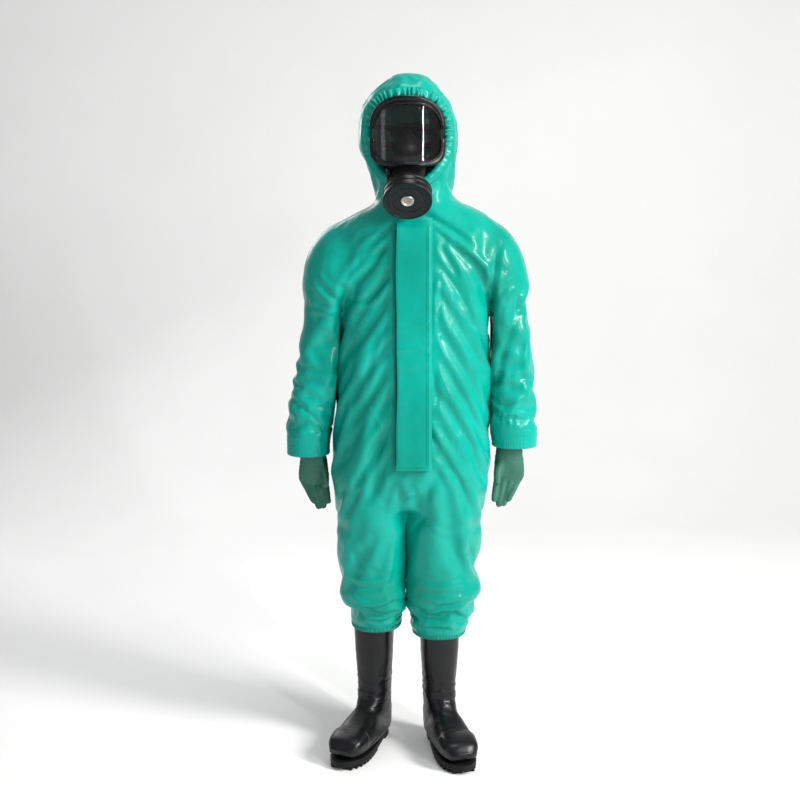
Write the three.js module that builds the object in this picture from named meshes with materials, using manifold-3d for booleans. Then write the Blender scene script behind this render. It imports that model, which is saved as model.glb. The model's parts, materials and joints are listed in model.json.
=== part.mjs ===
// Chemical protective suit, shown empty and standing as it is worn: a one-piece hooded coverall with
// a storm flap over its front zip, a full-face respirator with one screw-on canister, gloves and boots.
// Millimetres, +Z up, the suit faces -Y. The origin is on the floor between the boots.
// -X is the wearer's right side, +X the wearer's left side.
import * as THREE from "three";
import { mergeVertices } from "three/addons/utils/BufferGeometryUtils.js";
import Module from "manifold-3d";

const wasm = await Module();
wasm.setup();

// ---------------------------------------------------------------- driving dimensions
const WALL = 3; // garment wall, which stands in for 0.5 mm coated fabric
const GAP = 0.5; // clearance between neighbouring pieces
const WAIST_Z = 930; // lower end of the rigid torso
const CROTCH_END_Z = 665; // lower end of the seat section
const KNEE_Z = 460;
const ELBOW_Z = 1065;
const SHOULDER = {
  right: { x: -168, z: 1315, r: 100 },
  left: { x: 195, z: 1334, r: 98 },
};
const NECK_Z = 1440; // top of the torso shell
const HOOD_Z = 1490; // lower end of the hood shell
const FRONT_SLOPE = 0.0339; // lean of the front panel, mm of Y per mm of Z
const FRONT_Y = -140; // front plane at the waist
const ZIP_X = -22;
const FLAP = { x0: -33, x1: 55, z0: 802, z1: 1404, t: 1.6, off: 9.6 };
const MASK = { x: -6, z: 1630 };
const CANISTER = { r: 59, length: 46, tilt: 43 }; // tilt below the horizontal, degrees
const CANISTER_FRONT = new THREE.Vector3(MASK.x, -190, 1465);
const THREAD_R = 20; // 40 mm round thread
const BOOT_LENGTH = 276;

// ---------------------------------------------------------------- helpers
const V = (x, y, z) => new THREE.Vector3(x, y, z);
const X = V(1, 0, 0),
  Y = V(0, 1, 0),
  Z = V(0, 0, 1);
const frontY = (z) => FRONT_Y + (z - WAIST_Z) * FRONT_SLOPE;

// A closed superellipse section in the plane of u and v round c, with its own half-size on each side.
function section({ c, u = X, v = Y, ap, am = ap, bp, bm = bp, n = 2.4, N = 24 }) {
  const pts = [];
  for (let i = 0; i < N; i++) {
    const t = (i / N) * 2 * Math.PI,
      C = Math.cos(t),
      S = Math.sin(t);
    const a = Math.sign(C) * Math.abs(C) ** (2 / n) * (C >= 0 ? ap : am);
    const b = Math.sign(S) * Math.abs(S) ** (2 / n) * (S >= 0 ? bp : bm);
    pts.push(c.clone().addScaledVector(u, a).addScaledVector(v, b));
  }
  return pts;
}

// The parameters of a level section from its extents.
const level = (z, x0, x1, y0, y1, o = {}) => ({
  c: V((x0 + x1) / 2, (y0 + y1) / 2, z),
  ap: (x1 - x0) / 2,
  bp: (y1 - y0) / 2,
  ...o,
});
// The parameters of a section that runs between two points of the XZ plane, deep along Y.
const leaning = (p, q, depth, o = {}) => {
  const a = V(p[0], o.y ?? 0, p[1]),
    b = V(q[0], o.y ?? 0, q[1]);
  return {
    c: a.clone().add(b).multiplyScalar(0.5),
    u: b.clone().sub(a).normalize(),
    v: Y,
    ap: a.distanceTo(b) / 2,
    bp: depth,
    ...o,
  };
};
const shrink = (s, t) => ({
  ...s,
  ap: s.ap - t,
  am: (s.am ?? s.ap) - t,
  bp: s.bp - t,
  bm: (s.bm ?? s.bp) - t,
});

// A closed surface over a row of sections: a loop joins the last to the first, and ends are closed by a point.
function skin(rings, { loop = false, start = null, end = null } = {}) {
  const N = rings[0].length,
    pos = [],
    idx = [];
  for (const r of rings) for (const p of r) pos.push(p.x, p.y, p.z);
  const quad = (a, b) => {
    for (let i = 0; i < N; i++) {
      const j = (i + 1) % N;
      idx.push(a * N + i, a * N + j, b * N + j, a * N + i, b * N + j, b * N + i);
    }
  };
  for (let k = 0; k + 1 < rings.length; k++) quad(k, k + 1);
  if (loop) quad(rings.length - 1, 0);
  else {
    const mid = (r) =>
      r.reduce((s, p) => s.add(p), V(0, 0, 0)).multiplyScalar(1 / r.length);
    const a = start ?? mid(rings[0]),
      b = end ?? mid(rings[rings.length - 1]);
    const ia = pos.length / 3;
    pos.push(a.x, a.y, a.z, b.x, b.y, b.z);
    const last = (rings.length - 1) * N;
    for (let i = 0; i < N; i++) {
      const j = (i + 1) % N;
      idx.push(ia, j, i);
      idx.push(ia + 1, last + i, last + j);
    }
  }
  const g = new THREE.BufferGeometry();
  g.setAttribute("position", new THREE.Float32BufferAttribute(pos, 3));
  g.setIndex(idx);
  return outward(g);
}

// Turns a closed geometry so that its faces point out.
function outward(geometry) {
  let g = geometry.clone();
  g.deleteAttribute("normal");
  g.deleteAttribute("uv");
  g = mergeVertices(g, 1e-3);
  const p = g.attributes.position,
    f = g.index.array;
  let volume = 0;
  const a = V(0, 0, 0),
    b = V(0, 0, 0),
    c = V(0, 0, 0);
  for (let i = 0; i < f.length; i += 3) {
    a.fromBufferAttribute(p, f[i]);
    b.fromBufferAttribute(p, f[i + 1]);
    c.fromBufferAttribute(p, f[i + 2]);
    volume += a.dot(b.cross(c));
  }
  if (volume < 0)
    for (let i = 0; i < f.length; i += 3) [f[i + 1], f[i + 2]] = [f[i + 2], f[i + 1]];
  return g;
}

function solid(geometry) {
  const g = outward(geometry);
  return new wasm.Manifold(
    new wasm.Mesh({
      numProp: 3,
      vertProperties: new Float32Array(g.attributes.position.array),
      triVerts: new Uint32Array(g.index.array),
    }),
  );
}
function geometryOf(manifold) {
  const m = manifold.getMesh(),
    n = m.numProp,
    pos = new Float32Array(m.numVert * 3);
  for (let i = 0; i < m.numVert; i++)
    pos.set(m.vertProperties.subarray(i * n, i * n + 3), i * 3);
  const g = new THREE.BufferGeometry();
  g.setAttribute("position", new THREE.BufferAttribute(pos, 3));
  g.setIndex(new THREE.BufferAttribute(new Uint32Array(m.triVerts), 1));
  return g;
}
const join = (first, ...rest) => rest.reduce((s, r) => s.add(r), first);
const largest = (m) =>
  m.decompose().reduce((a, b) => (b.volume() > a.volume() ? b : a));

// An open-ended sleeve of fabric: an outer and an inner wall with a rim at each end.
const sleeve = (sections, t = WALL) =>
  skin(
    [
      ...sections.map(section),
      ...sections.map((s) => section(shrink(s, t))).reverse(),
    ],
    { loop: true },
  );
const full = (sections, o) => skin(sections.map(section), o);

// A turned piece on a local Z axis, from a closed profile or one that starts and ends on the axis.
function turned(profile, segments = 20) {
  const onAxis = profile[0][0] === 0;
  const pts = profile.map(([r, z]) => new THREE.Vector2(r, z));
  if (!onAxis) pts.push(pts[0].clone());
  return new THREE.LatheGeometry(pts, segments).rotateX(Math.PI / 2);
}
const box = (x0, x1, y0, y1, z0, z1) =>
  new THREE.BoxGeometry(x1 - x0, y1 - y0, z1 - z0).translate(
    (x0 + x1) / 2,
    (y0 + y1) / 2,
    (z0 + z1) / 2,
  );

// ---------------------------------------------------------------- materials
const material = (color, roughness, metalness = 0, more = {}) =>
  new THREE.MeshStandardMaterial({ color, roughness, metalness, ...more });
const suitFabric = () => material(0x05a88a, 0.35);
const cuffFabric = () => material(0x0a8d72, 0.4);
const gloveRubber = () => material(0x4a9a80, 0.7);
const blackRubber = () => material(0x141516, 0.5);
const blackPlastic = () => material(0x18191b, 0.35);
const clearLens = () =>
  material(0xdfe8ea, 0.05, 0, { transparent: true, opacity: 0.35 });
const brass = () => material(0xb98b4a, 0.35, 1);
const steel = () => material(0xb9bcc0, 0.3, 1);

const suit = new THREE.Group();
function put(name, geometry, mat, parent = suit) {
  const mesh = new THREE.Mesh(geometry, mat);
  mesh.name = name;
  parent.add(mesh);
  return mesh;
}

// ---------------------------------------------------------------- torso
const F = (z) => frontY(z) + 0.5;
const torsoSections = [
  level(WAIST_Z, -191, 204, F(930), 128),
  level(1000, -187, 204, F(1000), 130),
  level(1160, -174, 199, F(1160), 132),
  level(1213, -168, 194, F(1213), 132),
  level(1360, -165, 192, F(1360), 130),
  level(1392, -163, 191, F(1392), 127),
  level(1415, -152, 188, -117, 122),
  level(NECK_Z, -117, 176, -101, 113),
].map((s) => ({ ...s, n: 2.7, N: 20 }));
{
  const inner = torsoSections.map((s) => shrink(s, WALL));
  inner.unshift({ ...inner[0], c: inner[0].c.clone().setZ(WAIST_Z - 20) });
  const top = inner[inner.length - 1];
  inner.push({ ...top, c: top.c.clone().setZ(NECK_Z + 20) });
  const stub = (side, r, x0, x1) =>
    solid(
      new THREE.CylinderGeometry(r, r, Math.abs(x1 - x0), 20)
        .rotateZ(Math.PI / 2)
        .translate((x0 + x1) / 2, 0, SHOULDER[side].z),
    );
  const R = SHOULDER.right,
    L = SHOULDER.left;
  let body = join(
    solid(full(torsoSections)),
    stub("right", R.r, R.x + 90, R.x),
    stub("left", L.r, L.x - 90, L.x),
  );
  body = body
    .subtract(solid(full(inner)))
    .subtract(stub("right", R.r - WALL, R.x + 140, R.x - 20))
    .subtract(stub("left", L.r - WALL, L.x - 140, L.x + 20));
  put("torso_shell", geometryOf(largest(body)), suitFabric());
}

// The seat joins the torso to both legs, and crumples when a hip bends.
const legTop = {
  right: level(CROTCH_END_Z, -195, -14, -106, 112, { N: 16 }),
  left: level(CROTCH_END_Z, -9, 189, -106, 112, { N: 16 }),
};
{
  const trunk = [
    level(WAIST_Z - GAP, -191, 204, -138.5, 128),
    level(860, -200, 206, -138, 132),
    level(790, -203, 205, -136, 136),
    level(735, -199, 200, -128, 132),
    level(700, -194, 192, -110, 118),
  ].map((s) => ({ ...s, n: 2.7, N: 20 }));
  const trunkIn = trunk.map((s) => shrink(s, WALL));
  trunkIn.unshift({ ...trunkIn[0], c: trunkIn[0].c.clone().setZ(WAIST_Z + 20) });
  const low = trunkIn[trunkIn.length - 1];
  trunkIn[trunkIn.length - 1] = { ...low, c: low.c.clone().setZ(704) };
  const leg = (side, t, z) => [
    { ...shrink(legTop[side], t), c: legTop[side].c.clone().setZ(752) },
    { ...shrink(legTop[side], t), c: legTop[side].c.clone().setZ(z) },
  ];
  const z = CROTCH_END_Z;
  let body = join(
    solid(full(trunk)),
    solid(full(leg("right", 0, z))),
    solid(full(leg("left", 0, z))),
  );
  body = body
    .subtract(solid(full(trunkIn)))
    .subtract(solid(full(leg("right", WALL, z - 20))))
    .subtract(solid(full(leg("left", WALL, z - 20))));
  put("seat_section", geometryOf(largest(body)), suitFabric());
}

// ---------------------------------------------------------------- front closure
// Everything on the front lies on one leaning plane: local Z runs up it and local -Y points out of it.
const front = new THREE.Group();
front.position.set(0, frontY(770), 770);
front.rotation.x = -Math.atan(FRONT_SLOPE);
suit.add(front);
const up = (z) => (z - 770) / Math.cos(Math.atan(FRONT_SLOPE));
put("zip_tape_right", box(ZIP_X - 15, ZIP_X - 1.6, -1.3, -0.5, up(812), up(1396)), cuffFabric(), front);
put("zip_tape_left", box(ZIP_X + 1.6, ZIP_X + 15, -1.3, -0.5, up(812), up(1396)), cuffFabric(), front);
put("zip_chain", box(ZIP_X - 3, ZIP_X + 3, -4.1, -1.6, up(816), up(1394)), brass(), front);
put("hook_strip", box(2, 24, -3.2, -0.5, up(818), up(1388)), material(0x0b6f5c, 0.9), front);
put(
  "storm_flap",
  box(FLAP.x0, FLAP.x1, -FLAP.off - FLAP.t, -FLAP.off, up(FLAP.z0), up(FLAP.z1)),
  suitFabric(),
  front,
);
put("loop_strip", box(2, 24, -FLAP.off + 0.4, -FLAP.off + 2.2, up(818), up(1388)), material(0x0b6f5c, 0.95), front);
// The slider stands in front of the teeth, with a bridge that the pull hangs from.
put("zip_slider", box(ZIP_X - 5.5, ZIP_X + 5.5, -6.6, -4.4, up(1378), up(1394)), brass(), front);
{
  const s = new THREE.Shape();
  s.moveTo(-3, 0);
  s.lineTo(3, 0);
  s.lineTo(4.5, -34);
  s.lineTo(-4.5, -34);
  const g = new THREE.ExtrudeGeometry(s, { depth: 1.4, bevelEnabled: false })
    .rotateX(Math.PI / 2)
    .translate(ZIP_X, -6.9, up(1390));
  put("zip_pull", outward(g), brass(), front);
}
put("inner_zip_guard", box(ZIP_X - 32, ZIP_X + 32, 9.5, 11, up(942), up(1366)), cuffFabric(), front);

// ---------------------------------------------------------------- sleeves, cuffs and gloves
const sleeveData = {
  right: {
    cap: [
      [-168.6, 1215, -168.6, 1415, 100, 2],
      [-169.4, 1213.5, -199, 1399, 97, 2.05],
      [-170.4, 1211, -227, 1370, 93, 2.1],
      [-171.4, 1207, -251, 1332, 88, 2.15],
      [-172.4, 1201, -266, 1290, 82, 2.2],
      [-173.6, 1193, -273, 1240, 76, 2.2],
      [-176, 1178, -277, 1195, 71, 2.2],
      [-180, 1135, -283, 1135, 66, 2.2],
    ],
    elbow: [
      [1134.5, -283, -180, 66],
      [ELBOW_Z, -291, -185, 66],
      [995.5, -302, -191, 65],
    ],
    forearm: [
      [995, -302, -191, 65],
      [930, -318, -202, 64],
      [868.5, -320, -209, 62],
    ],
    cuff: [
      [868, -321, -208, 62],
      [838, -321, -208, 61],
      [807, -319, -209, 60],
    ],
    y: -4,
  },
  left: {
    cap: [
      [195.6, 1236, 195.6, 1432, 98, 2],
      [197, 1234, 232, 1412, 95, 2.05],
      [199, 1231, 262, 1380, 91, 2.1],
      [201, 1227, 284, 1340, 86, 2.15],
      [203, 1220, 296, 1295, 80, 2.2],
      [205, 1210, 300, 1248, 75, 2.2],
      [206, 1192, 303, 1200, 71, 2.2],
      [208, 1135, 311, 1135, 66, 2.2],
    ],
    elbow: [
      [1134.5, 208, 311, 66],
      [ELBOW_Z, 209, 319, 66],
      [995.5, 210, 324, 65],
    ],
    forearm: [
      [995, 210, 324, 65],
      [940, 212, 325, 64],
      [888.5, 213, 329, 62],
    ],
    cuff: [
      [888, 212, 330, 62],
      [858, 212, 331, 61],
      [829, 213, 330, 60],
    ],
    y: -4,
  },
};
// A glove: a gauntlet and palm with four fingers and a thumb, hollow, with its wrist open.
function glove(side, cx, top, wrist, knuckle, s) {
  const rod = (a, b, ra, rb) => {
    const d = b.clone().sub(a).normalize(),
      u = X.clone().addScaledVector(d, -d.x).normalize(),
      v = d.clone().cross(u);
    const at = (p, r, along) =>
      section({ c: p.clone().addScaledVector(d, along), u, v, ap: r, bp: r, n: 2, N: 6 });
    return skin(
      [at(a, ra * 0.6, -ra * 0.7), at(a, ra, 0), at(b, rb, 0), at(b, rb * 0.72, rb * 0.62)],
      { end: b.clone().addScaledVector(d, rb * 0.95) },
    );
  };
  const palm = (t, ext) =>
    full(
      [
        level(top + ext, cx - 37, cx + 37, -40, 32),
        level(wrist + 34, cx - 36, cx + 36, -36, 28),
        level(wrist, cx - 35, cx + 35, -30, 22),
        level(wrist - 28, cx - 39, cx + 39, -26, 16),
        level(knuckle, cx - 40, cx + 40, -23, 11),
        level(knuckle - 9, cx - 36, cx + 36, -20, 6),
      ].map((q) => ({ ...shrink(q, t), N: 12, n: 2.5 })),
    );
  const hand = (t, ext) => {
    const k = knuckle,
      m = solid(palm(t, ext));
    const fingers = [
      [-30, 9.2, s > 0 ? -54 : -56, -26],
      [-10.5, 9.8, -70, -24],
      [9.5, 9.6, -68, -24],
      [29, 8.8, -56, -26],
    ];
    return join(
      m,
      ...fingers.map(([x, r, dz, y]) =>
        solid(rod(V(cx + x, -7, k + 2), V(cx + x * 0.66 + s * 20, y, k + dz), r - t, r - 1 - t)),
      ),
      solid(rod(V(cx + s * 26, -16, k + 34), V(cx + s * 33, -42, k - 6), 12 - t, 10.5 - t)),
    );
  };
  return geometryOf(largest(hand(0, 0).subtract(hand(2, 20))));
}
for (const side of ["right", "left"]) {
  const d = sleeveData[side];
  put(
    side + "_upper_sleeve",
    sleeve(
      d.cap.map(([x0, z0, x1, z1, depth, n], i) =>
        leaning([x0, z0], [x1, z1], depth, { n, N: 16, y: (d.y * i) / (d.cap.length - 1) }),
      ),
    ),
    suitFabric(),
  );
  const tube = (rows, N = 14) =>
    sleeve(rows.map(([z, x0, x1, depth]) => level(z, x0, x1, d.y - depth, d.y + depth, { N, n: 2.2 })));
  put(side + "_elbow_section", tube(d.elbow), suitFabric());
  put(side + "_forearm_sleeve", tube(d.forearm), suitFabric());
  put(side + "_cuff", tube(d.cuff), cuffFabric());
}
put("right_glove", glove("right", -252, 872, 806, 746, 1), gloveRubber());
put("left_glove", glove("left", 259, 892, 826, 752, -1), gloveRubber());

// ---------------------------------------------------------------- trouser legs
const legData = {
  right: {
    thigh: [
      [CROTCH_END_Z - GAP, -195, -14, -106, 112],
      [600, -193, -14, -98, 108],
      [530.5, -188, -15, -88, 105],
    ],
    knee: [
      [530, -188, -15, -88, 105],
      [KNEE_Z, -184, -19, -86, 109],
      [408, -168, -20, -73, 117],
      [378, -162, -18, -64, 122],
    ],
    shin: [
      [377.5, -162, -18, -64, 122],
      [356, -162, -18, -58, 125],
      [338, -160, -21, -52, 124],
    ],
    hem: [
      [337.5, -158, -23, -48, 121],
      [323, -157, -25, -44, 118],
    ],
  },
  left: {
    thigh: [
      [CROTCH_END_Z - GAP, -9, 189, -106, 112],
      [600, -9, 186, -98, 108],
      [530.5, -9, 178, -88, 105],
    ],
    knee: [
      [530, -9, 178, -88, 105],
      [KNEE_Z, -8, 190, -86, 109],
      [400, -5, 172, -73, 115],
      [358, -3, 164, -66, 118],
    ],
    shin: [
      [357.5, -3, 164, -66, 118],
      [338, -1, 158, -60, 118],
      [318, 3, 153, -54, 117],
    ],
    hem: [
      [317.5, 6, 150, -50, 114],
      [303, 8, 148, -47, 111],
    ],
  },
};
for (const side of ["right", "left"]) {
  const tube = (rows, t = WALL) =>
    sleeve(rows.map(([z, x0, x1, y0, y1]) => level(z, x0, x1, y0, y1, { N: 16 })), t);
  const d = legData[side];
  put(side + "_thigh", tube(d.thigh), suitFabric());
  put(side + "_knee_section", tube(d.knee), suitFabric());
  put(side + "_shin", tube(d.shin), suitFabric());
  put(side + "_hem_elastic", tube(d.hem, 2.4), cuffFabric());
}

// ---------------------------------------------------------------- boots
// Each boot is built with its toe along local -Y and its ankle over the local origin, then turned outward.
const bootPose = {
  right: { x: -97, y: 48, turn: 24, mirror: 1 },
  left: { x: 80, y: 34, turn: -17, mirror: -1 },
};
const bootSection = (top, low, half, n = 2.5) => {
  const a = V(0, low[0], low[1]),
    b = V(0, top[0], top[1]);
  return {
    c: a.clone().add(b).multiplyScalar(0.5),
    u: X,
    v: b.clone().sub(a).normalize(),
    ap: half,
    bp: a.distanceTo(b) / 2,
    n,
    N: 14,
  };
};
const bootRows = [
  [[-60, 384], [56, 384], 55, 2.2],
  [[-52, 250], [52, 250], 49, 2.3],
  [[-49, 190], [52, 186], 44, 2.3],
  [[-50, 150], [52, 136], 42, 2.4],
  [[-58, 128], [54, 80], 40, 2.6],
  [[-72, 114], [50, 30], 39, 3.0],
  [[-98, 98], [8, 27], 44, 3.8],
  [[-132, 86], [-60, 27], 48, 3.8],
  [[-165, 82], [-118, 27], 50, 3.6],
  [[-192, 73], [-166, 27], 46, 3.2],
  [[-208, 56], [-196, 29], 34, 2.6],
];
const footprint = (inset) => {
  // half widths of the sole along its length, outer edge first
  const row = [
    [54, 0, 0],
    [50, 16, 16],
    [38, 26, 26],
    [12, 31, 31],
    [-22, 35, 31],
    [-60, 43, 36],
    [-110, 51, 46],
    [-150, 52, 49],
    [-180, 47, 45],
    [-205, 32, 31],
    [-218, 14, 14],
  ];
  const s = new THREE.Shape();
  const pts = [];
  for (const [y, o] of row) pts.push([Math.max(o - inset, 0), y]);
  pts.push([0, row[0][0] - BOOT_LENGTH]);
  for (const [y, , i] of row.slice(1).reverse()) pts.push([-Math.max(i - inset, 0), y]);
  pts.forEach(([x, y], k) => {
    const c = -74,
      f = 1 - inset / 145;
    const q = [x, c + (y - c) * f];
    if (k === 0) s.moveTo(...q);
    else s.lineTo(...q);
  });
  s.closePath();
  return s;
};
const slab = (shape, z0, z1) =>
  new THREE.ExtrudeGeometry(shape, { depth: z1 - z0, bevelEnabled: false }).translate(0, 0, z0);
for (const side of ["right", "left"]) {
  const { x, y, turn, mirror } = bootPose[side];
  const g = new THREE.Group();
  g.position.set(x, y, 0);
  g.rotation.z = (-turn * Math.PI) / 180;
  suit.add(g);
  const outer = bootRows.map(([t, l, h, n]) => bootSection(t, l, h, n));
  const rings = outer.map(section),
    inner = outer.map((s) => section(shrink(s, 3)));
  const upper = skin([...inner.slice().reverse(), ...rings], {
    start: V(0, -207, 42),
    end: V(0, -213, 42),
  });
  put(side + "_boot_upper", upper, blackRubber(), g);
  // sole plate with a heel block and a tread block under the ball of the foot
  const cut = (y0, y1) => solid(box(-80, 80, y0, y1, -20, 60));
  const plate = solid(slab(footprint(0), 10, 26)),
    tread = solid(slab(footprint(0), 0, 12));
  const sole = join(plate, tread.intersect(cut(4, 90)), tread.intersect(cut(-240, -66)));
  const soleGeo = geometryOf(largest(sole));
  if (mirror < 0) soleGeo.scale(-1, 1, 1);
  put(side + "_boot_outsole", outward(soleGeo), blackRubber(), g);
  const liner = new THREE.Shape();
  liner.absellipse(0, 8, 20, 20, 0, Math.PI, false);
  liner.lineTo(-20, -112);
  liner.lineTo(20, -112);
  liner.closePath();
  put(side + "_insole", slab(liner, 33.5, 37), material(0x2b2d2f, 0.9), g);
  const toe = outer.slice(-4);
  put(
    side + "_toe_cap",
    skin([...toe.map((s) => section(shrink(s, 5.8))).reverse(), ...toe.map((s) => section(shrink(s, 4.2)))], {
      start: V(0, -203.5, 42),
      end: V(0, -205.6, 42),
    }),
    steel(),
    g,
  );
}

// ---------------------------------------------------------------- hood
const hoodSections = [
  level(HOOD_Z, -84, 99, -93, 112),
  level(1515, -92, 110, -98, 118),
  level(1540, -102, 113, -104, 124),
  level(1565, -111, 113, -108, 129),
  level(1600, -126, 118, -112, 134),
  level(1635, -130, 123, -113, 137),
  level(1660, -127, 120, -112, 136),
  level(1690, -116, 108, -107, 130),
  level(1715, -101, 92, -98, 120),
  level(1738, -80, 74, -85, 105),
  level(1757, -57, 55, -66, 86),
  level(1775, -34, 24, -38, 60),
].map((s) => ({ ...s, N: 20 }));
const OPENING = { x: MASK.x, z: 1625, a: 99, up: 100, down: 122, n: 2.5 };
const outline = (o, t, N = 36, inset = 0) => {
  const C = Math.cos(t),
    S = Math.sin(t);
  // the lower half may be squarer than the upper one
  const n = S < 0 && o.low ? o.low : o.n;
  return [
    o.x + Math.sign(C) * Math.abs(C) ** (2 / n) * (o.a - inset),
    o.z + Math.sign(S) * Math.abs(S) ** (2 / n) * ((S >= 0 ? o.up : o.down) - inset),
  ];
};
// Depth of the hood's front surface at a point of its elevation.
function hoodFront(x, z) {
  let k = 0;
  while (k + 2 < hoodSections.length && hoodSections[k + 1].c.z < z) k++;
  const A = hoodSections[k],
    B = hoodSections[k + 1],
    f = THREE.MathUtils.clamp((z - A.c.z) / (B.c.z - A.c.z), 0, 1);
  const mix = (p, q) => p + (q - p) * f;
  const cx = mix(A.c.x, B.c.x),
    cy = mix(A.c.y, B.c.y),
    a = mix(A.ap, B.ap),
    b = mix(A.bp, B.bp);
  const q = Math.min(Math.abs((x - cx) / a), 0.995);
  return cy - b * (1 - q ** 2.4) ** (1 / 2.4);
}
{
  const outer = hoodSections.map(section),
    inner = hoodSections.map((s) => section(shrink(s, WALL)));
  const dome = solid(
    skin([...inner.slice().reverse(), ...outer], { start: V(-6, 12, 1780), end: V(-7, 11, 1786) }),
  );
  const hole = [-400, -40].map((y) =>
    Array.from({ length: 24 }, (_, i) => {
      const [x, z] = outline(OPENING, (i / 24) * 2 * Math.PI);
      return V(x, y, z);
    }),
  );
  put("hood_shell", geometryOf(largest(dome.subtract(solid(skin(hole))))), suitFabric());
  // elastic cord in the edge of the face opening
  const M = 28,
    r = 3.4,
    centre = Array.from({ length: M }, (_, i) => {
      const [x, z] = outline(OPENING, (i / M) * 2 * Math.PI, M, 5);
      return V(x, hoodFront(x, z) + 2, z);
    });
  const rings = centre.map((p, i) => {
    const d = centre[(i + 1) % M].clone().sub(centre[(i + M - 1) % M]).normalize(),
      u = Y.clone().addScaledVector(d, -d.y).normalize(),
      v = d.clone().cross(u);
    return section({ c: p, u, v, ap: r, bp: r, n: 2, N: 6 });
  });
  put("hood_face_elastic", skin(rings, { loop: true }), cuffFabric());
}
put(
  "hood_neck",
  sleeve(
    [
      level(NECK_Z + GAP, -116, 174, -101, 113),
      level(1462, -82, 126, -96, 110),
      level(HOOD_Z - GAP, -84, 99, -93, 112),
    ].map((s) => ({ ...s, N: 20 })),
  ),
  suitFabric(),
);

// ---------------------------------------------------------------- full-face mask
// The visor bulges forward in plan; its rim, frame and facepiece follow the same curve.
const visorY = (x) => -138 + 36 * ((x - MASK.x) / 92) ** 2;
const LENS = { x: MASK.x, z: MASK.z, a: 84, up: 76, down: 72, n: 2.5, low: 4.6 };
const rim = (grow, dy, N = 36) =>
  Array.from({ length: N }, (_, i) => {
    const [x, z] = outline(LENS, (i / N) * 2 * Math.PI, N, -grow);
    return V(x, visorY(x) + dy, z);
  });
{
  const face = (dy) =>
    [0.4, 0.75, 1].map((f) =>
      Array.from({ length: 24 }, (_, i) => {
        const [x, z] = outline(LENS, (i / 24) * 2 * Math.PI);
        const px = LENS.x + (x - LENS.x) * f,
          pz = LENS.z + (z - LENS.z) * f;
        return V(px, visorY(px) + dy, pz);
      }),
    );
  put(
    "visor_lens",
    skin([...face(-1.2), ...face(1.2).reverse()], {
      start: V(LENS.x, visorY(LENS.x) - 1.2, LENS.z),
      end: V(LENS.x, visorY(LENS.x) + 1.2, LENS.z),
    }),
    clearLens(),
  );
}
// The frame is two clamped halves round the lens edge, screwed together at the temples.
function frameHalf(t0, t1) {
  const n = 14,
    rings = [];
  for (let i = 0; i <= n; i++) {
    const t = t0 + ((t1 - t0) * i) / n;
    const p = (grow, dy) => {
      const [x, z] = outline(LENS, t, 36, -grow);
      return V(x, visorY(x) + dy, z);
    };
    rings.push([p(0.6, -7), p(4.5, -8), p(9, -6), p(9.4, 5), p(5, 7), p(0.6, 6)]);
  }
  return skin(rings);
}
put("visor_frame_upper", frameHalf(0.05, Math.PI - 0.05), blackPlastic());
put("visor_frame_lower", frameHalf(Math.PI + 0.02, 2 * Math.PI - 0.02), blackPlastic());

// Axis of the filter port: forward and down.
const tilt = (CANISTER.tilt * Math.PI) / 180;
const AX = V(0, -Math.cos(tilt), -Math.sin(tilt)),
  AU = V(0, -Math.sin(tilt), Math.cos(tilt));
const PORT = CANISTER_FRONT.clone().addScaledVector(AX, -CANISTER.length - 20.2);
const boss = (t, along, rows) =>
  rows.map(([d, a, b, up]) => section({ c: PORT.clone().addScaledVector(AX, d), u: X, v: AU, ap: a - t, bp: up - t, bm: b - t, n: 2.3, N: 14 }));
{
  const rows = [
    [-92, 34, 22, 22],
    [-68, 46, 26, 26],
    [-34, 42, 28, 14],
    [-12, 32, 28, 23],
    [0, 29, 28, 28],
  ];
  const shellRings = (t) =>
    [0, 0.3, 0.7, 1].map((s) => {
      const o = { ...LENS, a: 90 - 24 * s - t, up: 82 - 12 * s - t, down: 80 - 10 * s - t, n: 2.5, low: 4.2 };
      return Array.from({ length: 18 }, (_, i) => {
        const [x, z] = outline(o, (i / 18) * 2 * Math.PI);
        return V(x, (1 - s) * (visorY(x) + 7.8) + s * -40, z);
      });
    });
  const extend = (rings) => {
    const a = rings[0].map((p) => p.clone().add(V(0, -20, 0))),
      b = rings[rings.length - 1].map((p) => p.clone().add(V(0, 20, 0)));
    return [a, ...rings, b];
  };
  const inRows = rows.map((r) => r.slice());
  inRows[0][0] -= 6;
  inRows[inRows.length - 1][0] += 12;
  const body = solid(skin(shellRings(0)))
    .add(solid(skin(boss(0, 0, rows))))
    .subtract(solid(skin(extend(shellRings(4)))))
    .subtract(solid(skin(boss(4, 0, inRows))))
    .subtract(
      solid(
        new THREE.CylinderGeometry(8, 8, 60, 10)
          .rotateZ(Math.PI / 2)
          .translate(MASK.x - 50, PORT.y - AX.y * 30, PORT.z - AX.z * 30),
      ),
    );
  put("mask_facepiece", geometryOf(largest(body)), blackRubber());
}
{
  const rows = [
    [-48, -42, 30, 1572, 1650],
    [-72, -40, 28, 1567, 1643],
    [-92, -34, 22, 1567, 1628],
    [-106, -24, 12, 1572, 1612],
  ];
  const cup = (t) =>
    rows.map(([y, x0, x1, z0, z1], i) =>
      section({
        c: V((x0 + x1) / 2, y + (i ? t : 0), (z0 + z1) / 2 - 6),
        u: X,
        v: Z,
        ap: (x1 - x0) / 2 - t,
        bp: (z1 - z0) / 2 + 6 - t,
        bm: (z1 - z0) / 2 - 6 - t,
        n: 2.1,
        N: 12,
      }),
    );
  put(
    "nose_cup",
    skin([...cup(2.5).reverse(), ...cup(0)], { start: V(MASK.x, -108, 1588), end: V(MASK.x, -111, 1588) }),
    blackRubber(),
  );
}
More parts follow.
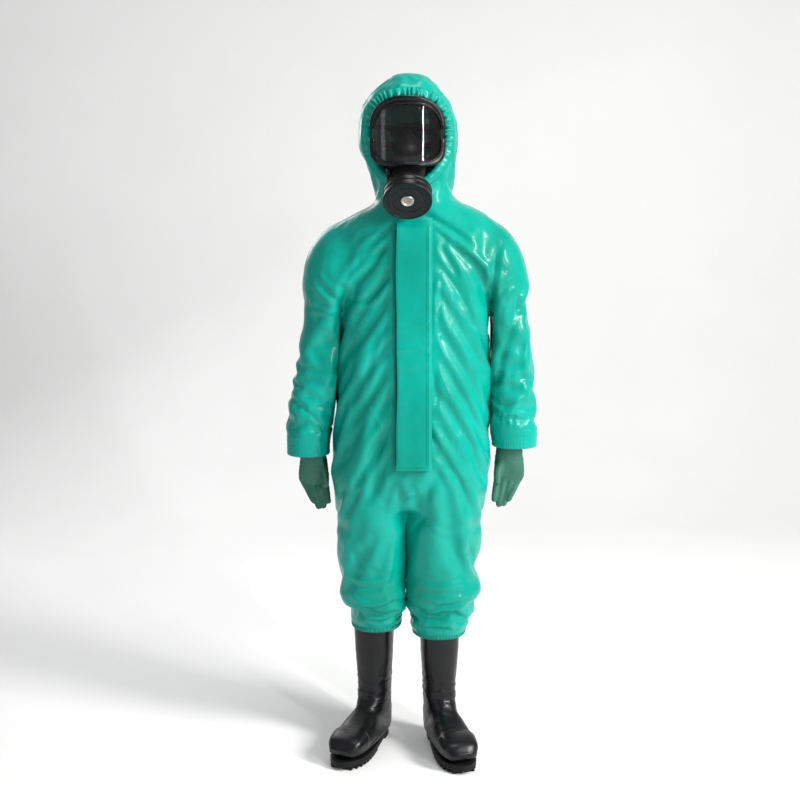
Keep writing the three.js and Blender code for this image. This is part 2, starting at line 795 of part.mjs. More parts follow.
// Groups whose local Z runs out along the port axis, and out of the wearer's right side of the chin.
const port = new THREE.Group();
port.matrixAutoUpdate = true;
port.quaternion.setFromRotationMatrix(new THREE.Matrix4().makeBasis(X, AX.clone().cross(X), AX));
port.position.copy(PORT);
suit.add(port);
put("inhalation_valve_seat", turned([[10, -2.2], [20.5, -2.2], [20.5, -0.4], [10, -0.4]], 16), blackPlastic(), port);
put("inhalation_valve_disc", turned([[0, -3.7], [14, -3.7], [14, -2.7], [0, -2.7]], 24), material(0x8a7f6a, 0.7), port);
put(
  "filter_connector",
  turned([[THREAD_R + 0.7, 0.4], [28, 0.4], [28, 12], [26, 15.2], [THREAD_R + 0.7, 15.2]]),
  blackPlastic(),
  port,
);
put("connector_gasket", turned([[THREAD_R + 1, 16], [29, 16], [29, 19.6], [THREAD_R + 1, 19.6]]), material(0x3a3a3a, 0.8), port);
const CB = 20.2, // back of the canister
  CF = CB + CANISTER.length;
put(
  "canister_body",
  turned(
    [
      [15, 2], [THREAD_R, 2], [THREAD_R, CB], [40, CB], [54, CB + 4], [58.5, CB + 8],
      [59, CB + 12], [57.6, CB + 14], [57.6, CB + 24], [59, CB + 26], [59, CB + 29], [57.6, CB + 31],
      [57.6, CF - 6.4], [56, CF - 6.4], [56, CB + 10], [52, CB + 6.2], [39.5, CB + 2], [15, CB + 2],
    ],
    20,
  ),
  blackPlastic(),
  port,
);
put("particulate_filter", turned([[0, CB + 7], [50, CB + 7], [54.5, CB + 12], [54.5, CB + 19], [0, CB + 19]], 24), material(0xe8e4da, 0.95), port);
put("carbon_bed", turned([[0, CB + 19.6], [54.8, CB + 19.6], [54.8, CF - 9], [0, CF - 9]], 24), material(0x202020, 0.95), port);
put("inlet_screen", turned([[0, CF - 8.4], [54.8, CF - 8.4], [54.8, CF - 7.2], [0, CF - 7.2]], 24), steel(), port);
put(
  "canister_lid",
  turned(
    [[16.5, CF - 5.2], [50, CF - 5.2], [50, CF - 6], [59, CF - 6], [59.3, CF - 2], [57.5, CF], [52, CF - 1], [44, CF - 3], [16.5, CF - 3]],
    20,
  ),
  blackPlastic(),
  port,
);
put("inlet_ring", turned([[9, CF - 5], [16, CF - 5], [16, CF - 1.6], [13.5, CF - 0.4], [9, CF - 1.2]], 20), steel(), port);

const vent = new THREE.Group();
vent.position.set(MASK.x - 43.5, PORT.y - AX.y * 30, PORT.z - AX.z * 30);
vent.rotation.y = -Math.PI / 2;
suit.add(vent);
put("exhalation_valve_disc", turned([[0, 0.4], [12, 0.4], [12, 1.4], [0, 1.4]], 20), material(0x8a7f6a, 0.7), vent);
put(
  "exhalation_cover",
  turned([[13.2, 0], [16, 0], [16, 6], [13, 8.5], [4, 9], [4, 7.4], [12.2, 6.8], [13.2, 5.6]], 14),
  blackPlastic(),
  vent,
);

// Head harness: two straps round the back of the head that meet in a plate, and a buckle on each temple.
{
  const strap = (z0, z1) => {
    const s = new THREE.Shape();
    const a = 80.5,
      b = 75,
      w = 2.4,
      cy = 24,
      pts = [];
    pts.push([a, -42]);
    for (let i = 0; i <= 10; i++) pts.push([a * Math.cos((i / 10) * Math.PI), cy + b * Math.sin((i / 10) * Math.PI)]);
    pts.push([-a, -42], [-a + w, -42]);
    for (let i = 10; i >= 0; i--) pts.push([(a - w) * Math.cos((i / 10) * Math.PI), cy + (b - w) * Math.sin((i / 10) * Math.PI)]);
    pts.push([a - w, -42]);
    pts.forEach(([x, y], k) => (k ? s.lineTo(x + MASK.x, y) : s.moveTo(x + MASK.x, y)));
    s.closePath();
    return solid(slab(s, z0, z1));
  };
  const plate = solid(box(MASK.x - 24, MASK.x + 24, 94, 98, 1592, 1662));
  put("head_harness", geometryOf(join(strap(1640, 1656), strap(1598, 1614), plate)), material(0x1b1c1e, 0.8));
  for (const [side, s] of [["right", -1], ["left", 1]])
    put(
      side + "_harness_buckle",
      box(...[MASK.x + s * 78, MASK.x + s * 83].sort((p, q) => p - q), -62, -43, 1636, 1660),
      steel(),
    );
}

export default suit;
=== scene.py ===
# Visual model of the chemical protective suit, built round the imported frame. Metres, +Z up, the suit faces -Y.
import json
import math

import bmesh
import bpy
import numpy as np
from mathutils import Matrix, Vector, noise

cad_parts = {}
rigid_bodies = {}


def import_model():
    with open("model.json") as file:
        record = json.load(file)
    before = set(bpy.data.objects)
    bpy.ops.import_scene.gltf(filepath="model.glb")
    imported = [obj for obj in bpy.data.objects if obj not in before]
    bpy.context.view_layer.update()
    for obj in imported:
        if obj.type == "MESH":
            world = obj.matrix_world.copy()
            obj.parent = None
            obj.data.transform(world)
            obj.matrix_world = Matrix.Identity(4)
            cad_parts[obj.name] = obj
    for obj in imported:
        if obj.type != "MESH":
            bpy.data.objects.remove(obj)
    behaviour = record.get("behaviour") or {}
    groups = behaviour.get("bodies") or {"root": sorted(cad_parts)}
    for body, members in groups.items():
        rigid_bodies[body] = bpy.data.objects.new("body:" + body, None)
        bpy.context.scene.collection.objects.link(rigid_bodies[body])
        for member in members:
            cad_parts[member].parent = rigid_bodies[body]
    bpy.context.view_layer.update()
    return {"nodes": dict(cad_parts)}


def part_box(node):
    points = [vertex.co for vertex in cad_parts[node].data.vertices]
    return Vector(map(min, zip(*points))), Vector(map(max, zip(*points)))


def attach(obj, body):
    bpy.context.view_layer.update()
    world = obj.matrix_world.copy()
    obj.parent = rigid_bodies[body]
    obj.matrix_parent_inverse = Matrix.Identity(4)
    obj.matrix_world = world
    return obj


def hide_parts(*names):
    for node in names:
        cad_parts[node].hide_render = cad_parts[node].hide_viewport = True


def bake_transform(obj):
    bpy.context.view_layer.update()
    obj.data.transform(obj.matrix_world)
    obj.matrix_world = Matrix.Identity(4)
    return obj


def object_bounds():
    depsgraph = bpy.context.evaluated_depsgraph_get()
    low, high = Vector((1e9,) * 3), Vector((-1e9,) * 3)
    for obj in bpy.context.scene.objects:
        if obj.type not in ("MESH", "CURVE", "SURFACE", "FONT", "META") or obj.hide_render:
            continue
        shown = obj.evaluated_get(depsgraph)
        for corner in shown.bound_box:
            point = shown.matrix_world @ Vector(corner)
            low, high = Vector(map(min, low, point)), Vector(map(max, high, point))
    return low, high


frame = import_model()
SC = bpy.context.scene


# ------------------------------------------------------------------ camera, light, floor
def camera():
    cam = bpy.data.cameras.new("camera")
    o = bpy.data.objects.new("camera", cam)
    SC.collection.objects.link(o)
    o.location = (0, -3.2, 1.5)
    o.rotation_euler = (math.radians(80), 0, 0)
    cam.sensor_width = 36
    cam.lens = 1251 / 800 * 36
    cam.shift_x = -10 / 800
    cam.shift_y = 7.5 / 800
    SC.camera = o


def area(name, loc, target, size, power, color=(1, 1, 1)):
    li = bpy.data.lights.new(name, "AREA")
    li.shape = "RECTANGLE"
    li.size, li.size_y = size
    li.energy = power
    li.color = color
    o = bpy.data.objects.new(name, li)
    SC.collection.objects.link(o)
    o.location = loc
    d = Vector(target) - Vector(loc)
    o.rotation_euler = d.to_track_quat("-Z", "Y").to_euler()


camera()
area("key", (2.9, -1.7, 2.6), (0.1, 0, 1.1), (0.8, 1.3), 165, (1.0, 0.99, 0.97))
area("strip", (1.92, -2.75, 1.75), (0, -0.13, 1.62), (0.09, 1.5), 42)
area("top", (0.3, -0.4, 3.6), (0, 0, 1.0), (1.2, 0.9), 26)
area("fill", (-2.9, -2.2, 1.7), (0, 0, 0.9), (0.5, 2.2), 7, (0.93, 0.97, 1.0))
area("rim", (-1.6, 2.6, 2.4), (0, 0, 1.1), (1.2, 1.6), 24)
world = bpy.data.worlds.new("world")
SC.world = world
world.use_nodes = True
world.node_tree.nodes["Background"].inputs[0].default_value = (1, 1, 1, 1)
world.node_tree.nodes["Background"].inputs[1].default_value = 0.34
SC.view_settings.view_transform = "Standard"


# ------------------------------------------------------------------ materials
class Mat:
    """A node material under construction."""

    def __init__(self, name, **p):
        self.m = bpy.data.materials.new(name)
        self.m.use_nodes = True
        self.t = self.m.node_tree
        self.b = self.t.nodes["Principled BSDF"]
        for k, v in p.items():
            self.b.inputs[k.replace("_", " ")].default_value = v
        self.co = self.t.nodes.new("ShaderNodeTexCoord").outputs["Object"]

    def n(self, kind, **p):
        o = self.t.nodes.new(kind)
        for k, v in p.items():
            if hasattr(o, k):
                setattr(o, k, v)
            else:
                o.inputs[k.replace("_", " ")].default_value = v
        return o

    def l(self, a, b):
        self.t.links.new(a, b)

    def noise(self, scale, detail=3, rough=0.55, stretch=None, dist=0.0):
        src = self.co
        if stretch:
            mp = self.n("ShaderNodeMapping")
            mp.inputs["Scale"].default_value = stretch
            self.l(src, mp.inputs[0])
            src = mp.outputs[0]
        o = self.n("ShaderNodeTexNoise")
        o.inputs["Scale"].default_value = scale
        o.inputs["Detail"].default_value = detail
        o.inputs["Roughness"].default_value = rough
        o.inputs["Distortion"].default_value = dist
        self.l(src, o.inputs["Vector"])
        return o.outputs["Fac"]

    def ramp(self, fac, stops):
        r = self.n("ShaderNodeValToRGB")
        e = r.color_ramp.elements
        while len(e) < len(stops):
            e.new(0.5)
        for el, (pos, col) in zip(e, stops):
            el.position = pos
            el.color = (*col, 1) if len(col) == 3 else col
        self.l(fac, r.inputs[0])
        return r.outputs[0]

    def bump(self, height, strength, distance, normal=None):
        b = self.n("ShaderNodeBump")
        b.inputs["Strength"].default_value = strength
        b.inputs["Distance"].default_value = distance
        self.l(height, b.inputs["Height"])
        if normal is not None:
            self.l(normal, b.inputs["Normal"])
        return b.outputs[0]

    def color(self, out):
        self.l(out, self.b.inputs["Base Color"])

    def rough(self, out):
        self.l(out, self.b.inputs["Roughness"])

    def normal(self, out):
        self.l(out, self.b.inputs["Normal"])


def lin(r, g, b):
    f = lambda c: (c / 255 / 12.92) if c / 255 <= 0.04045 else ((c / 255 + 0.055) / 1.055) ** 2.4
    return (f(r), f(g), f(b))


def coated(name, dark, mid, light, rough=(0.27, 0.42), weave=1.0):
    m = Mat(name, Specular_IOR_Level=0.14, Coat_Weight=0.15, Coat_Roughness=0.14)
    blotch = m.noise(3.2, 4, 0.6)
    m.color(m.ramp(blotch, [(0.3, dark), (0.52, mid), (0.75, light)]))
    m.rough(m.ramp(m.noise(26, 3, 0.6), [(0.35, (rough[0],) * 3), (0.7, (rough[1],) * 3)]))
    # crumple of the coating, then the cloth's grain showing through it
    n1 = m.bump(m.noise(34, 3, 0.55, dist=0.6), 0.10, 0.004)
    n2 = m.bump(m.noise(240, 2, 0.6), 0.10 * weave, 0.0008, n1)
    w = m.n("ShaderNodeTexWave", wave_type="BANDS", bands_direction="Z")
    w.inputs["Scale"].default_value = 520
    w.inputs["Distortion"].default_value = 0.4
    m.l(m.co, w.inputs["Vector"])
    n3 = m.bump(w.outputs["Fac"], 0.05 * weave, 0.0003, n2)
    m.normal(n3)
    return m.m


SUIT = coated("suit_fabric", lin(0, 132, 113), lin(0, 150, 134), lin(0, 168, 155))
TRIM = coated("suit_trim", lin(0, 112, 96), lin(0, 128, 112), lin(0, 140, 124), (0.34, 0.5))


# ------------------------------------------------------------------ garment forms (millimetres in these tables)
def sm(t):
    t = np.clip(t, 0, 1)
    return t * t * (3 - 2 * t)


def interp_rows(rows, zs):
    """Rows of numbers keyed by their first entry, interpolated smoothly at zs."""
    r = np.array(sorted(rows), float)
    out = []
    for k in range(1, r.shape[1]):
        x, y = r[:, 0], r[:, k]
        d = np.gradient(y, x)
        i = np.clip(np.searchsorted(x, zs) - 1, 0, len(x) - 2)
        h = x[i + 1] - x[i]
        t = np.clip((zs - x[i]) / h, 0, 1)
        h00, h10 = 2 * t**3 - 3 * t**2 + 1, t**3 - 2 * t**2 + t
        h01, h11 = -2 * t**3 + 3 * t**2, t**3 - t**2
        out.append(h00 * y[i] + h10 * h * d[i] + h01 * y[i + 1] + h11 * h * d[i + 1])
    return np.array(out)


def ring(c, u, v, a, b, n, N=64):
    t = np.arange(N) / N * 2 * np.pi
    C, S = np.cos(t), np.sin(t)
    x = np.sign(C) * np.abs(C) ** (2 / n) * a
    y = np.sign(S) * np.abs(S) ** (2 / n) * b
    return np.asarray(c, float) + np.outer(x, u) + np.outer(y, v)


def tube_mesh(rings, name="tube"):
    """A closed tube through rings of points, as a Blender object in metres."""
    N = len(rings[0])
    v = np.concatenate(rings + [rings[0].mean(0)[None], rings[-1].mean(0)[None]]) / 1000
    f = []
    for k in range(len(rings) - 1):
        for i in range(N):
            j = (i + 1) % N
            f.append((k * N + i, k * N + j, (k + 1) * N + j, (k + 1) * N + i))
    a, b, L = len(rings) * N, len(rings) * N + 1, (len(rings) - 1) * N
    for i in range(N):
        j = (i + 1) % N
        f.append((a, j, i))
        f.append((b, L + i, L + j))
    me = bpy.data.meshes.new(name)
    me.from_pydata(v.tolist(), [], f)
    bm = bmesh.new()
    bm.from_mesh(me)
    bmesh.ops.recalc_face_normals(bm, faces=bm.faces)
    bm.to_mesh(me)
    bm.free()
    o = bpy.data.objects.new(name, me)
    SC.collection.objects.link(o)
    return o


EX, EY, EZ = np.eye(3)
# z, x0, x1, y0, y1, n
TRUNK = [
    (1520, -88, 108, -92, 112, 2.2), (1487, -83, 100, -92, 110, 2.2), (1462, -84, 124, -96, 112, 2.3),
    (1438, -132, 185, -104, 116, 2.4), (1413, -176, 216, -115, 121, 2.5), (1387, -186, 226, -122, 126, 2.6),
    (1340, -186, 224, -126, 129, 2.7), (1290, -180, 216, -129, 130, 2.7), (1240, -173, 207, -131, 131, 2.7),
    (1190, -176, 208, -132, 131, 2.7), (1110, -181, 208, -134, 131, 2.7), (1030, -188, 208, -137, 130, 2.7),
    (950, -193, 208, -139, 129, 2.7), (880, -197, 206, -139, 132, 2.7), (818, -203, 208, -140, 135, 2.7),
    (770, -203, 205, -138, 136, 2.7), (735, -199, 200, -129, 132, 2.6), (705, -196, 196, -111, 122, 2.5),
    (690, -195, 195, -94, 108, 2.4),
]
LEG_R = [
    (760, -197, -4, -112, 124, 2.3), (710, -196, -8, -108, 118, 2.3), (656, -195, -6, -105, 112, 2.3),
    (602, -193, -4, -98, 108, 2.3), (547, -191, -4, -90, 106, 2.3), (515, -185, -4, -84, 106, 2.3),
    (492, -180, -4, -82, 108, 2.3), (464, -184, -4, -88, 110, 2.3), (436, -183, -6, -82, 112, 2.3),
    (414, -169, -8, -74, 116, 2.3), (392, -160, -14, -66, 122, 2.3), (375, -161, -18, -60, 125, 2.3),
    (360, -161, -19, -54, 125, 2.3), (347, -157, -25, -46, 120, 2.3), (335, -154, -30, -40, 116, 2.3),
]
LEG_L = [
    (760, -2, 199, -112, 124, 2.3), (710, -4, 197, -108, 118, 2.3), (656, -15, 189, -105, 112, 2.3),
    (602, -18, 186, -98, 108, 2.3), (547, -18, 179, -90, 106, 2.3), (515, -18, 176, -84, 106, 2.3),
    (492, -18, 182, -84, 108, 2.3), (464, -17, 191, -89, 110, 2.3), (436, -15, 177, -82, 112, 2.3),
    (412, -11, 171, -74, 114, 2.3), (390, -6, 170, -69, 117, 2.3), (363, -3, 161, -64, 119, 2.3),
    (342, -1, 156, -58, 119, 2.3), (329, 4, 151, -51, 115, 2.3), (316, 9, 147, -45, 110, 2.3),
]
# inner x, inner z, outer x, outer z, half depth, y, n
ARM_R = [
    (-110, 1232, -110, 1408, 84, 0, 2.2), (-150, 1220, -152, 1421, 94, 0, 2.15), (-169, 1213, -200, 1411, 96, 0, 2.1),
    (-170, 1211, -234, 1382, 92, -1, 2.1), (-171, 1207, -258, 1343, 87, -1, 2.1), (-172, 1201, -269, 1294, 82, -2, 2.15),
    (-169, 1193, -272, 1240, 76, -2, 2.2), (-169, 1180, -277, 1196, 71, -3, 2.2), (-169, 1133, -283, 1133, 66, -4, 2.2),
    (-170, 1080, -290, 1080, 66, -4, 2.2), (-173, 1030, -299, 1030, 65, -4, 2.2), (-178, 990, -307, 990, 65, -4, 2.2),
    (-185, 950, -317, 950, 64, -4, 2.2), (-194, 900, -320, 900, 63, -4, 2.2), (-203, 868, -321, 868, 62, -4, 2.2),
    (-208, 838, -321, 838, 61, -4, 2.2), (-208, 800, -319, 800, 60, -4, 2.2),
]
ARM_L = [
    (130, 1250, 130, 1414, 82, 0, 2.2), (176, 1240, 178, 1426, 92, 0, 2.15), (197, 1234, 232, 1412, 94, 0, 2.1),
    (199, 1231, 262, 1380, 90, -1, 2.1), (202, 1227, 284, 1340, 85, -1, 2.1), (204, 1220, 296, 1295, 80, -2, 2.15),
    (204, 1208, 301, 1248, 75, -2, 2.2), (202, 1190, 302, 1200, 71, -3, 2.2), (200, 1133, 311, 1133, 66, -4, 2.2),
    (196, 1080, 317, 1080, 66, -4, 2.2), (196, 1030, 321, 1030, 65, -4, 2.2), (197, 990, 324, 990, 65, -4, 2.2),
    (198, 950, 325, 950, 64, -4, 2.2), (201, 900, 328, 900, 62, -4, 2.2), (208, 868, 331, 868, 61, -4, 2.2),
    (213, 840, 331, 840, 60, -4, 2.2), (213, 822, 330, 822, 60, -4, 2.2),
]
HOOD = [
    (1470, -82, 112, -92, 110, 2.3), (1490, -84, 99, -93, 112, 2.3), (1515, -92, 110, -98, 118, 2.3),
    (1540, -102, 113, -104, 124, 2.3), (1565, -111, 113, -108, 129, 2.3), (1600, -126, 118, -112, 134, 2.3),
    (1635, -129, 119, -113, 137, 2.3), (1660, -128, 116, -112, 136, 2.3), (1690, -121, 105, -107, 130, 2.3),
    (1715, -109, 94, -98, 120, 2.3), (1738, -86, 77, -85, 105, 2.3), (1757, -63, 62, -66, 86, 2.3),
    (1773, -46, 38, -38, 60, 2.3), (1780, -30, 18, -16, 36, 2.2),
]


def level_rings(rows, step=12, shrink=0.0, N=64):
    zs = np.arange(min(r[0] for r in rows), max(r[0] for r in rows) + 0.1, step)
    q = interp_rows(rows, zs)
    out = []
    for z, x0, x1, y0, y1, n in zip(zs, *q):
        out.append(ring(((x0 + x1) / 2, (y0 + y1) / 2, z), EX, EY, (x1 - x0) / 2 - shrink, (y1 - y0) / 2 - shrink, n, N))
    return out


def arm_rings(rows, shrink=0.0, N=48, sub=4):
    r = np.array(rows, float)
    k = np.arange(0, len(r) - 1 + 1e-6, 1 / sub)
    q = interp_rows([(i, *row) for i, row in enumerate(r)], k)
    out = []
    for xi, zi, xo, zo, d, y, n in zip(*q):
        a, b = np.array([xi, y, zi]), np.array([xo, y, zo])
        u = (b - a) / np.linalg.norm(b - a)
        out.append(ring((a + b) / 2, u, EY, np.linalg.norm(b - a) / 2 - shrink, d - shrink, n, N))
    return out


# Limbs are spread apart while the forms are joined, so that neighbours don't fuse, and brought back after.
SPREAD_ARM, SPREAD_LEG = 30.0, 16.0
SPLIT_X = -11.0  # the plane between the legs


def arm_edge(z, side):
    rows = [(-1, -204), (840, -204), (900, -198.5), (990, -189), (1080, -180), (1190, -174), (1240, -174), (2000, -174)] if side < 0 else [
        (-1, 209), (840, 209), (950, 206.5), (1133, 205.5), (1240, 206), (2000, 206)]
    r = np.array(rows, float)
    return np.interp(z, r[:, 0], r[:, 1])


def amount(z, side, limb):
    if limb == "arm":
        return SPREAD_ARM * sm(((1222 if side < 0 else 1244) - z) / 90)
    return SPREAD_LEG * sm((668 - z) / 50)


def push(P, side, limb):
    P = P.copy()
    P[:, 0] += side * amount(P[:, 2], side, limb)
    return P


def limb_of(P):
    """0 trunk, -1 and 1 arms, -2 and 2 legs, for points of the spread garment in mm."""
    x, z = P[:, 0], P[:, 2]
    out = np.zeros(len(P), int)
    for side in (-1, 1):
        a = amount(z, side, "arm")
        out[(x * side > (arm_edge(z, side) + side * a * 0.5) * side) & (z > 640) & (z < 1420)] = side
    low = (z < 690) & (out == 0)
    out[low & (x <= SPLIT_X)] = -2
    out[low & (x > SPLIT_X)] = 2
    return out


def gather(P, limb):
    """Brings spread limbs back to where they are worn."""
    P = P.copy()
    for side in (-1, 1):
        m = limb == side
        P[m, 0] -= side * amount(P[m, 2], side, "arm")
        m = limb == 2 * side
        P[m, 0] -= side * amount(P[m, 2], side, "leg")
    return P


def coords(me):
    a = np.empty(len(me.vertices) * 3, np.float32)
    me.vertices.foreach_get("co", a)
    return a.reshape(-1, 3).astype(float)


def set_coords(me, P):
    me.vertices.foreach_set("co", np.asarray(P, np.float32).ravel())
    me.update()


def vnormals(me):
    a = np.empty(len(me.vertices) * 3, np.float32)
    me.vertex_normals.foreach_get("vector", a)
    return a.reshape(-1, 3).astype(float)


def edges_of(me):
    a = np.empty(len(me.edges) * 2, np.int32)
    me.edges.foreach_get("vertices", a)
    return a.reshape(-1, 2)


def relax(P, E, times, factor=0.5, weight=None):
    n = len(P)
    deg = np.bincount(E.ravel(), minlength=n).astype(float)[:, None]
    deg[deg == 0] = 1
    w = factor if weight is None else factor * weight[:, None]
    for _ in range(times):
        S = np.zeros_like(P)
        for k in range(3):
            S[:, k] = np.bincount(E[:, 0], P[E[:, 1], k], n) + np.bincount(E[:, 1], P[E[:, 0], k], n)
        P = P + (S / deg - P) * w
    return P


def joined(objs, name, voxel):
    """One voxel-remeshed surface round overlapping closed forms."""
    bpy.ops.object.select_all(action="DESELECT")
    for o in objs:
        o.select_set(True)
    bpy.context.view_layer.objects.active = objs[0]
    bpy.ops.object.join()
    o = bpy.context.view_layer.objects.active
    o.name = name
    m = o.modifiers.new("r", "REMESH")
    m.mode = "VOXEL"
    m.voxel_size = voxel
    m.adaptivity = 0
    bpy.ops.object.modifier_apply(modifier="r")
    return o


def garment_forms(shrink=0.0):
    """The coverall's forms with the limbs spread apart."""
    parts = []
    for rows in (TRUNK, HOOD):
        parts.append(tube_mesh(level_rings(rows, shrink=shrink)))
    for rows, side in ((ARM_R, -1), (ARM_L, 1)):
        parts.append(tube_mesh([push(r, side, "arm") for r in arm_rings(rows, shrink=shrink)]))
    for rows, side in ((LEG_R, -1), (LEG_L, 1)):
        parts.append(tube_mesh([push(r, side, "leg") for r in level_rings(rows, shrink=shrink)]))
    return parts


HEM = {-1: 352.0, 1: 332.0}  # level of each trouser hem, under which the elastic edge hangs
HEM_END = {-1: 338.0, 1: 319.0}
CUFF_END = {-1: 820.0, 1: 842.0}
CUFF_TOP = {-1: 868.0, 1: 888.0}
OPEN = dict(x=-6.0, z=1625.0, a=97.0, up=96.0, down=119.0, n=2.5, low=2.02)


def open_dist(x, z):
    """Signed distance, about in mm, outside the face opening's outline."""
    a = OPEN["a"]
    b = np.where(z >= OPEN["z"], OPEN["up"], OPEN["down"])
    n = np.where(z >= OPEN["z"], OPEN["n"], OPEN["low"])
    q = (np.abs((x - OPEN["x"]) / a) ** n + np.abs((z - OPEN["z"]) / b) ** n) ** (1 / n)
    return (q - 1) * (a + b) / 2


def delete_faces(o, test):
    bm = bmesh.new()
    bm.from_mesh(o.data)
    kill = [f for f in bm.faces if test(f.calc_center_median())]
    bmesh.ops.delete(bm, geom=kill, context="FACES")
    bm.to_mesh(o.data)
    bm.free()


def base_garment(voxel=0.008):
    o = joined(garment_forms(), "coverall", voxel)
    me = o.data
    P = coords(me) * 1000
    E = edges_of(me)
    P = relax(P, E, 10)
    set_coords(me, P / 1000)

    def cut(c):
        x, y, z = c.x * 1000, c.y * 1000, c.z * 1000
        if z < HEM_END[-1 if x < SPLIT_X else 1]:
            return True
        if x < -222 and z < CUFF_END[-1] or x > 226 and z < CUFF_END[1]:
            return True
        return y < -20 and open_dist(np.array(x), np.array(z)) < 0

    delete_faces(o, cut)
    return o


def simulate(o, collider, pin, frames=22, grow=-0.05, quality=4, bending=0.6, gravity=1.0, gap=0.004):
    """Lets the cloth buckle and hang over the collider, and returns where its points settle."""
    vg = o.vertex_groups.new(name="pin")
    for w in np.unique(np.round(pin, 1)):
        idx = np.nonzero(np.round(pin, 1) == w)[0]
        if w > 0:
            vg.add(idx.tolist(), float(w), "REPLACE")
    if collider is not None:
        c = collider.modifiers.new("c", "COLLISION")
        collider.collision.thickness_outer = gap
        collider.collision.cloth_friction = 8
    m = o.modifiers.new("cloth", "CLOTH")
    s = m.settings
    s.quality = quality
    s.mass = 0.25
    s.tension_stiffness = s.compression_stiffness = 25
    s.shear_stiffness = 12
    s.bending_stiffness = bending
    s.tension_damping = s.compression_damping = s.shear_damping = 12
    s.bending_damping = 0.6
    s.air_damping = 2
    s.vertex_group_mass = "pin"
    s.pin_stiffness = 4
    s.shrink_min = grow
    s.shrink_max = grow
    s.effector_weights.gravity = gravity
    m.collision_settings.use_collision = collider is not None
    m.collision_settings.distance_min = gap
    m.collision_settings.collision_quality = 2
    m.collision_settings.use_self_collision = False
    m.point_cache.frame_start = 1
    m.point_cache.frame_end = frames + 1
    SC.frame_start, SC.frame_end = 1, frames + 1
    for f in range(1, frames + 1):
        SC.frame_set(f)
    dg = bpy.context.evaluated_depsgraph_get()
    ev = o.evaluated_get(dg)
    a = np.empty(len(o.data.vertices) * 3, np.float32)
    ev.data.vertices.foreach_get("co", a)
    o.modifiers.remove(m)
    SC.frame_set(1)
    o.vertex_groups.clear()
    return a.reshape(-1, 3).astype(float)


# ------------------------------------------------------------------ general mesh helpers
def new_obj(name, verts, faces, mats, smooth=True, mat_index=None):
    me = bpy.data.meshes.new(name)
    me.from_pydata([tuple(map(float, v)) for v in verts], [], [tuple(map(int, f)) for f in faces])
    for m in mats if isinstance(mats, (list, tuple)) else [mats]:
        me.materials.append(m)
    if mat_index is not None:
        me.polygons.foreach_set("material_index", np.asarray(mat_index, np.int32))
    me.polygons.foreach_set("use_smooth", [smooth] * len(me.polygons))
    me.update()
    o = bpy.data.objects.new(name, me)
    SC.collection.objects.link(o)
    return o


def grid_faces(nu, nv, close_u=False, close_v=False, base=0):
    f = []
    for i in range(nu if close_u else nu - 1):
        for j in range(nv if close_v else nv - 1):
            i2, j2 = (i + 1) % nu, (j + 1) % nv
            f.append((base + i * nv + j, base + i2 * nv + j, base + i2 * nv + j2, base + i * nv + j2))
    return f


def fix_normals(o):
    bm = bmesh.new()
    bm.from_mesh(o.data)
    bmesh.ops.recalc_face_normals(bm, faces=bm.faces)
    bm.to_mesh(o.data)
    bm.free()
    return o


def sharpen(o, angle=40):
    """Keeps crisp edges crisp on a smooth-shaded piece."""
    bm = bmesh.new()
    bm.from_mesh(o.data)
    lim = math.radians(angle)
    for e in bm.edges:
        if len(e.link_faces) == 2 and e.calc_face_angle(0) > lim:
            e.smooth = False
    bm.to_mesh(o.data)
    bm.free()
    return o


def rounded(o, width, segments=2, angle=35):
    m = o.modifiers.new("b", "BEVEL")
    m.width = width
    m.segments = segments
    m.limit_method = "ANGLE"
    m.angle_limit = math.radians(angle)
    bpy.context.view_layer.objects.active = o
    bpy.ops.object.modifier_apply(modifier="b")
    return o


def lathe(name, profile, origin, axis, mat, segments=96, xdir=(1, 0, 0), mats=None, wobble=None):
    """A turned piece. The profile is (r, z) in mm along the axis, closed unless it starts and ends on the axis."""
    a = Vector(axis).normalized()
    u = Vector(xdir)
    u = (u - a * u.dot(a)).normalized()
    v = a.cross(u)
    closed = profile[0][0] > 1e-6
    n = len(profile)
    verts = []
    for i in range(segments):
        t = i / segments * 2 * math.pi
        d = u * math.cos(t) + v * math.sin(t)
        for r, z in profile:
            verts.append(Vector(origin) + (d * r + a * z) / 1000)
    faces = grid_faces(segments, n, True, closed)
    o = new_obj(name, verts, faces, mat)
    bm = bmesh.new()
    bm.from_mesh(o.data)
    bmesh.ops.remove_doubles(bm, verts=bm.verts, dist=1e-6)
    bmesh.ops.dissolve_degenerate(bm, edges=bm.edges, dist=1e-7)
    bmesh.ops.recalc_face_normals(bm, faces=bm.faces)
    bm.to_mesh(o.data)
    bm.free()
    return sharpen(o, 38)


def fillet(profile, r=0.8, k=3):
    """Rounds the corners of a closed profile."""
    out = []
    n = len(profile)
    P = [np.array(p, float) for p in profile]
    closed = profile[0][0] > 1e-6
    for i in range(n):
        if not closed and i in (0, n - 1):
            out.append(tuple(P[i]))
            continue
        a, b, c = P[i - 1], P[i], P[(i + 1) % n]
        la, lc = np.linalg.norm(a - b), np.linalg.norm(c - b)
        q = min(r, la * 0.42, lc * 0.42)
        s, e = b + (a - b) / max(la, 1e-9) * q, b + (c - b) / max(lc, 1e-9) * q
        for j in range(k + 1):
            t = j / k
            out.append(tuple((1 - t) ** 2 * s + 2 * t * (1 - t) * b + t * t * e))
    return out


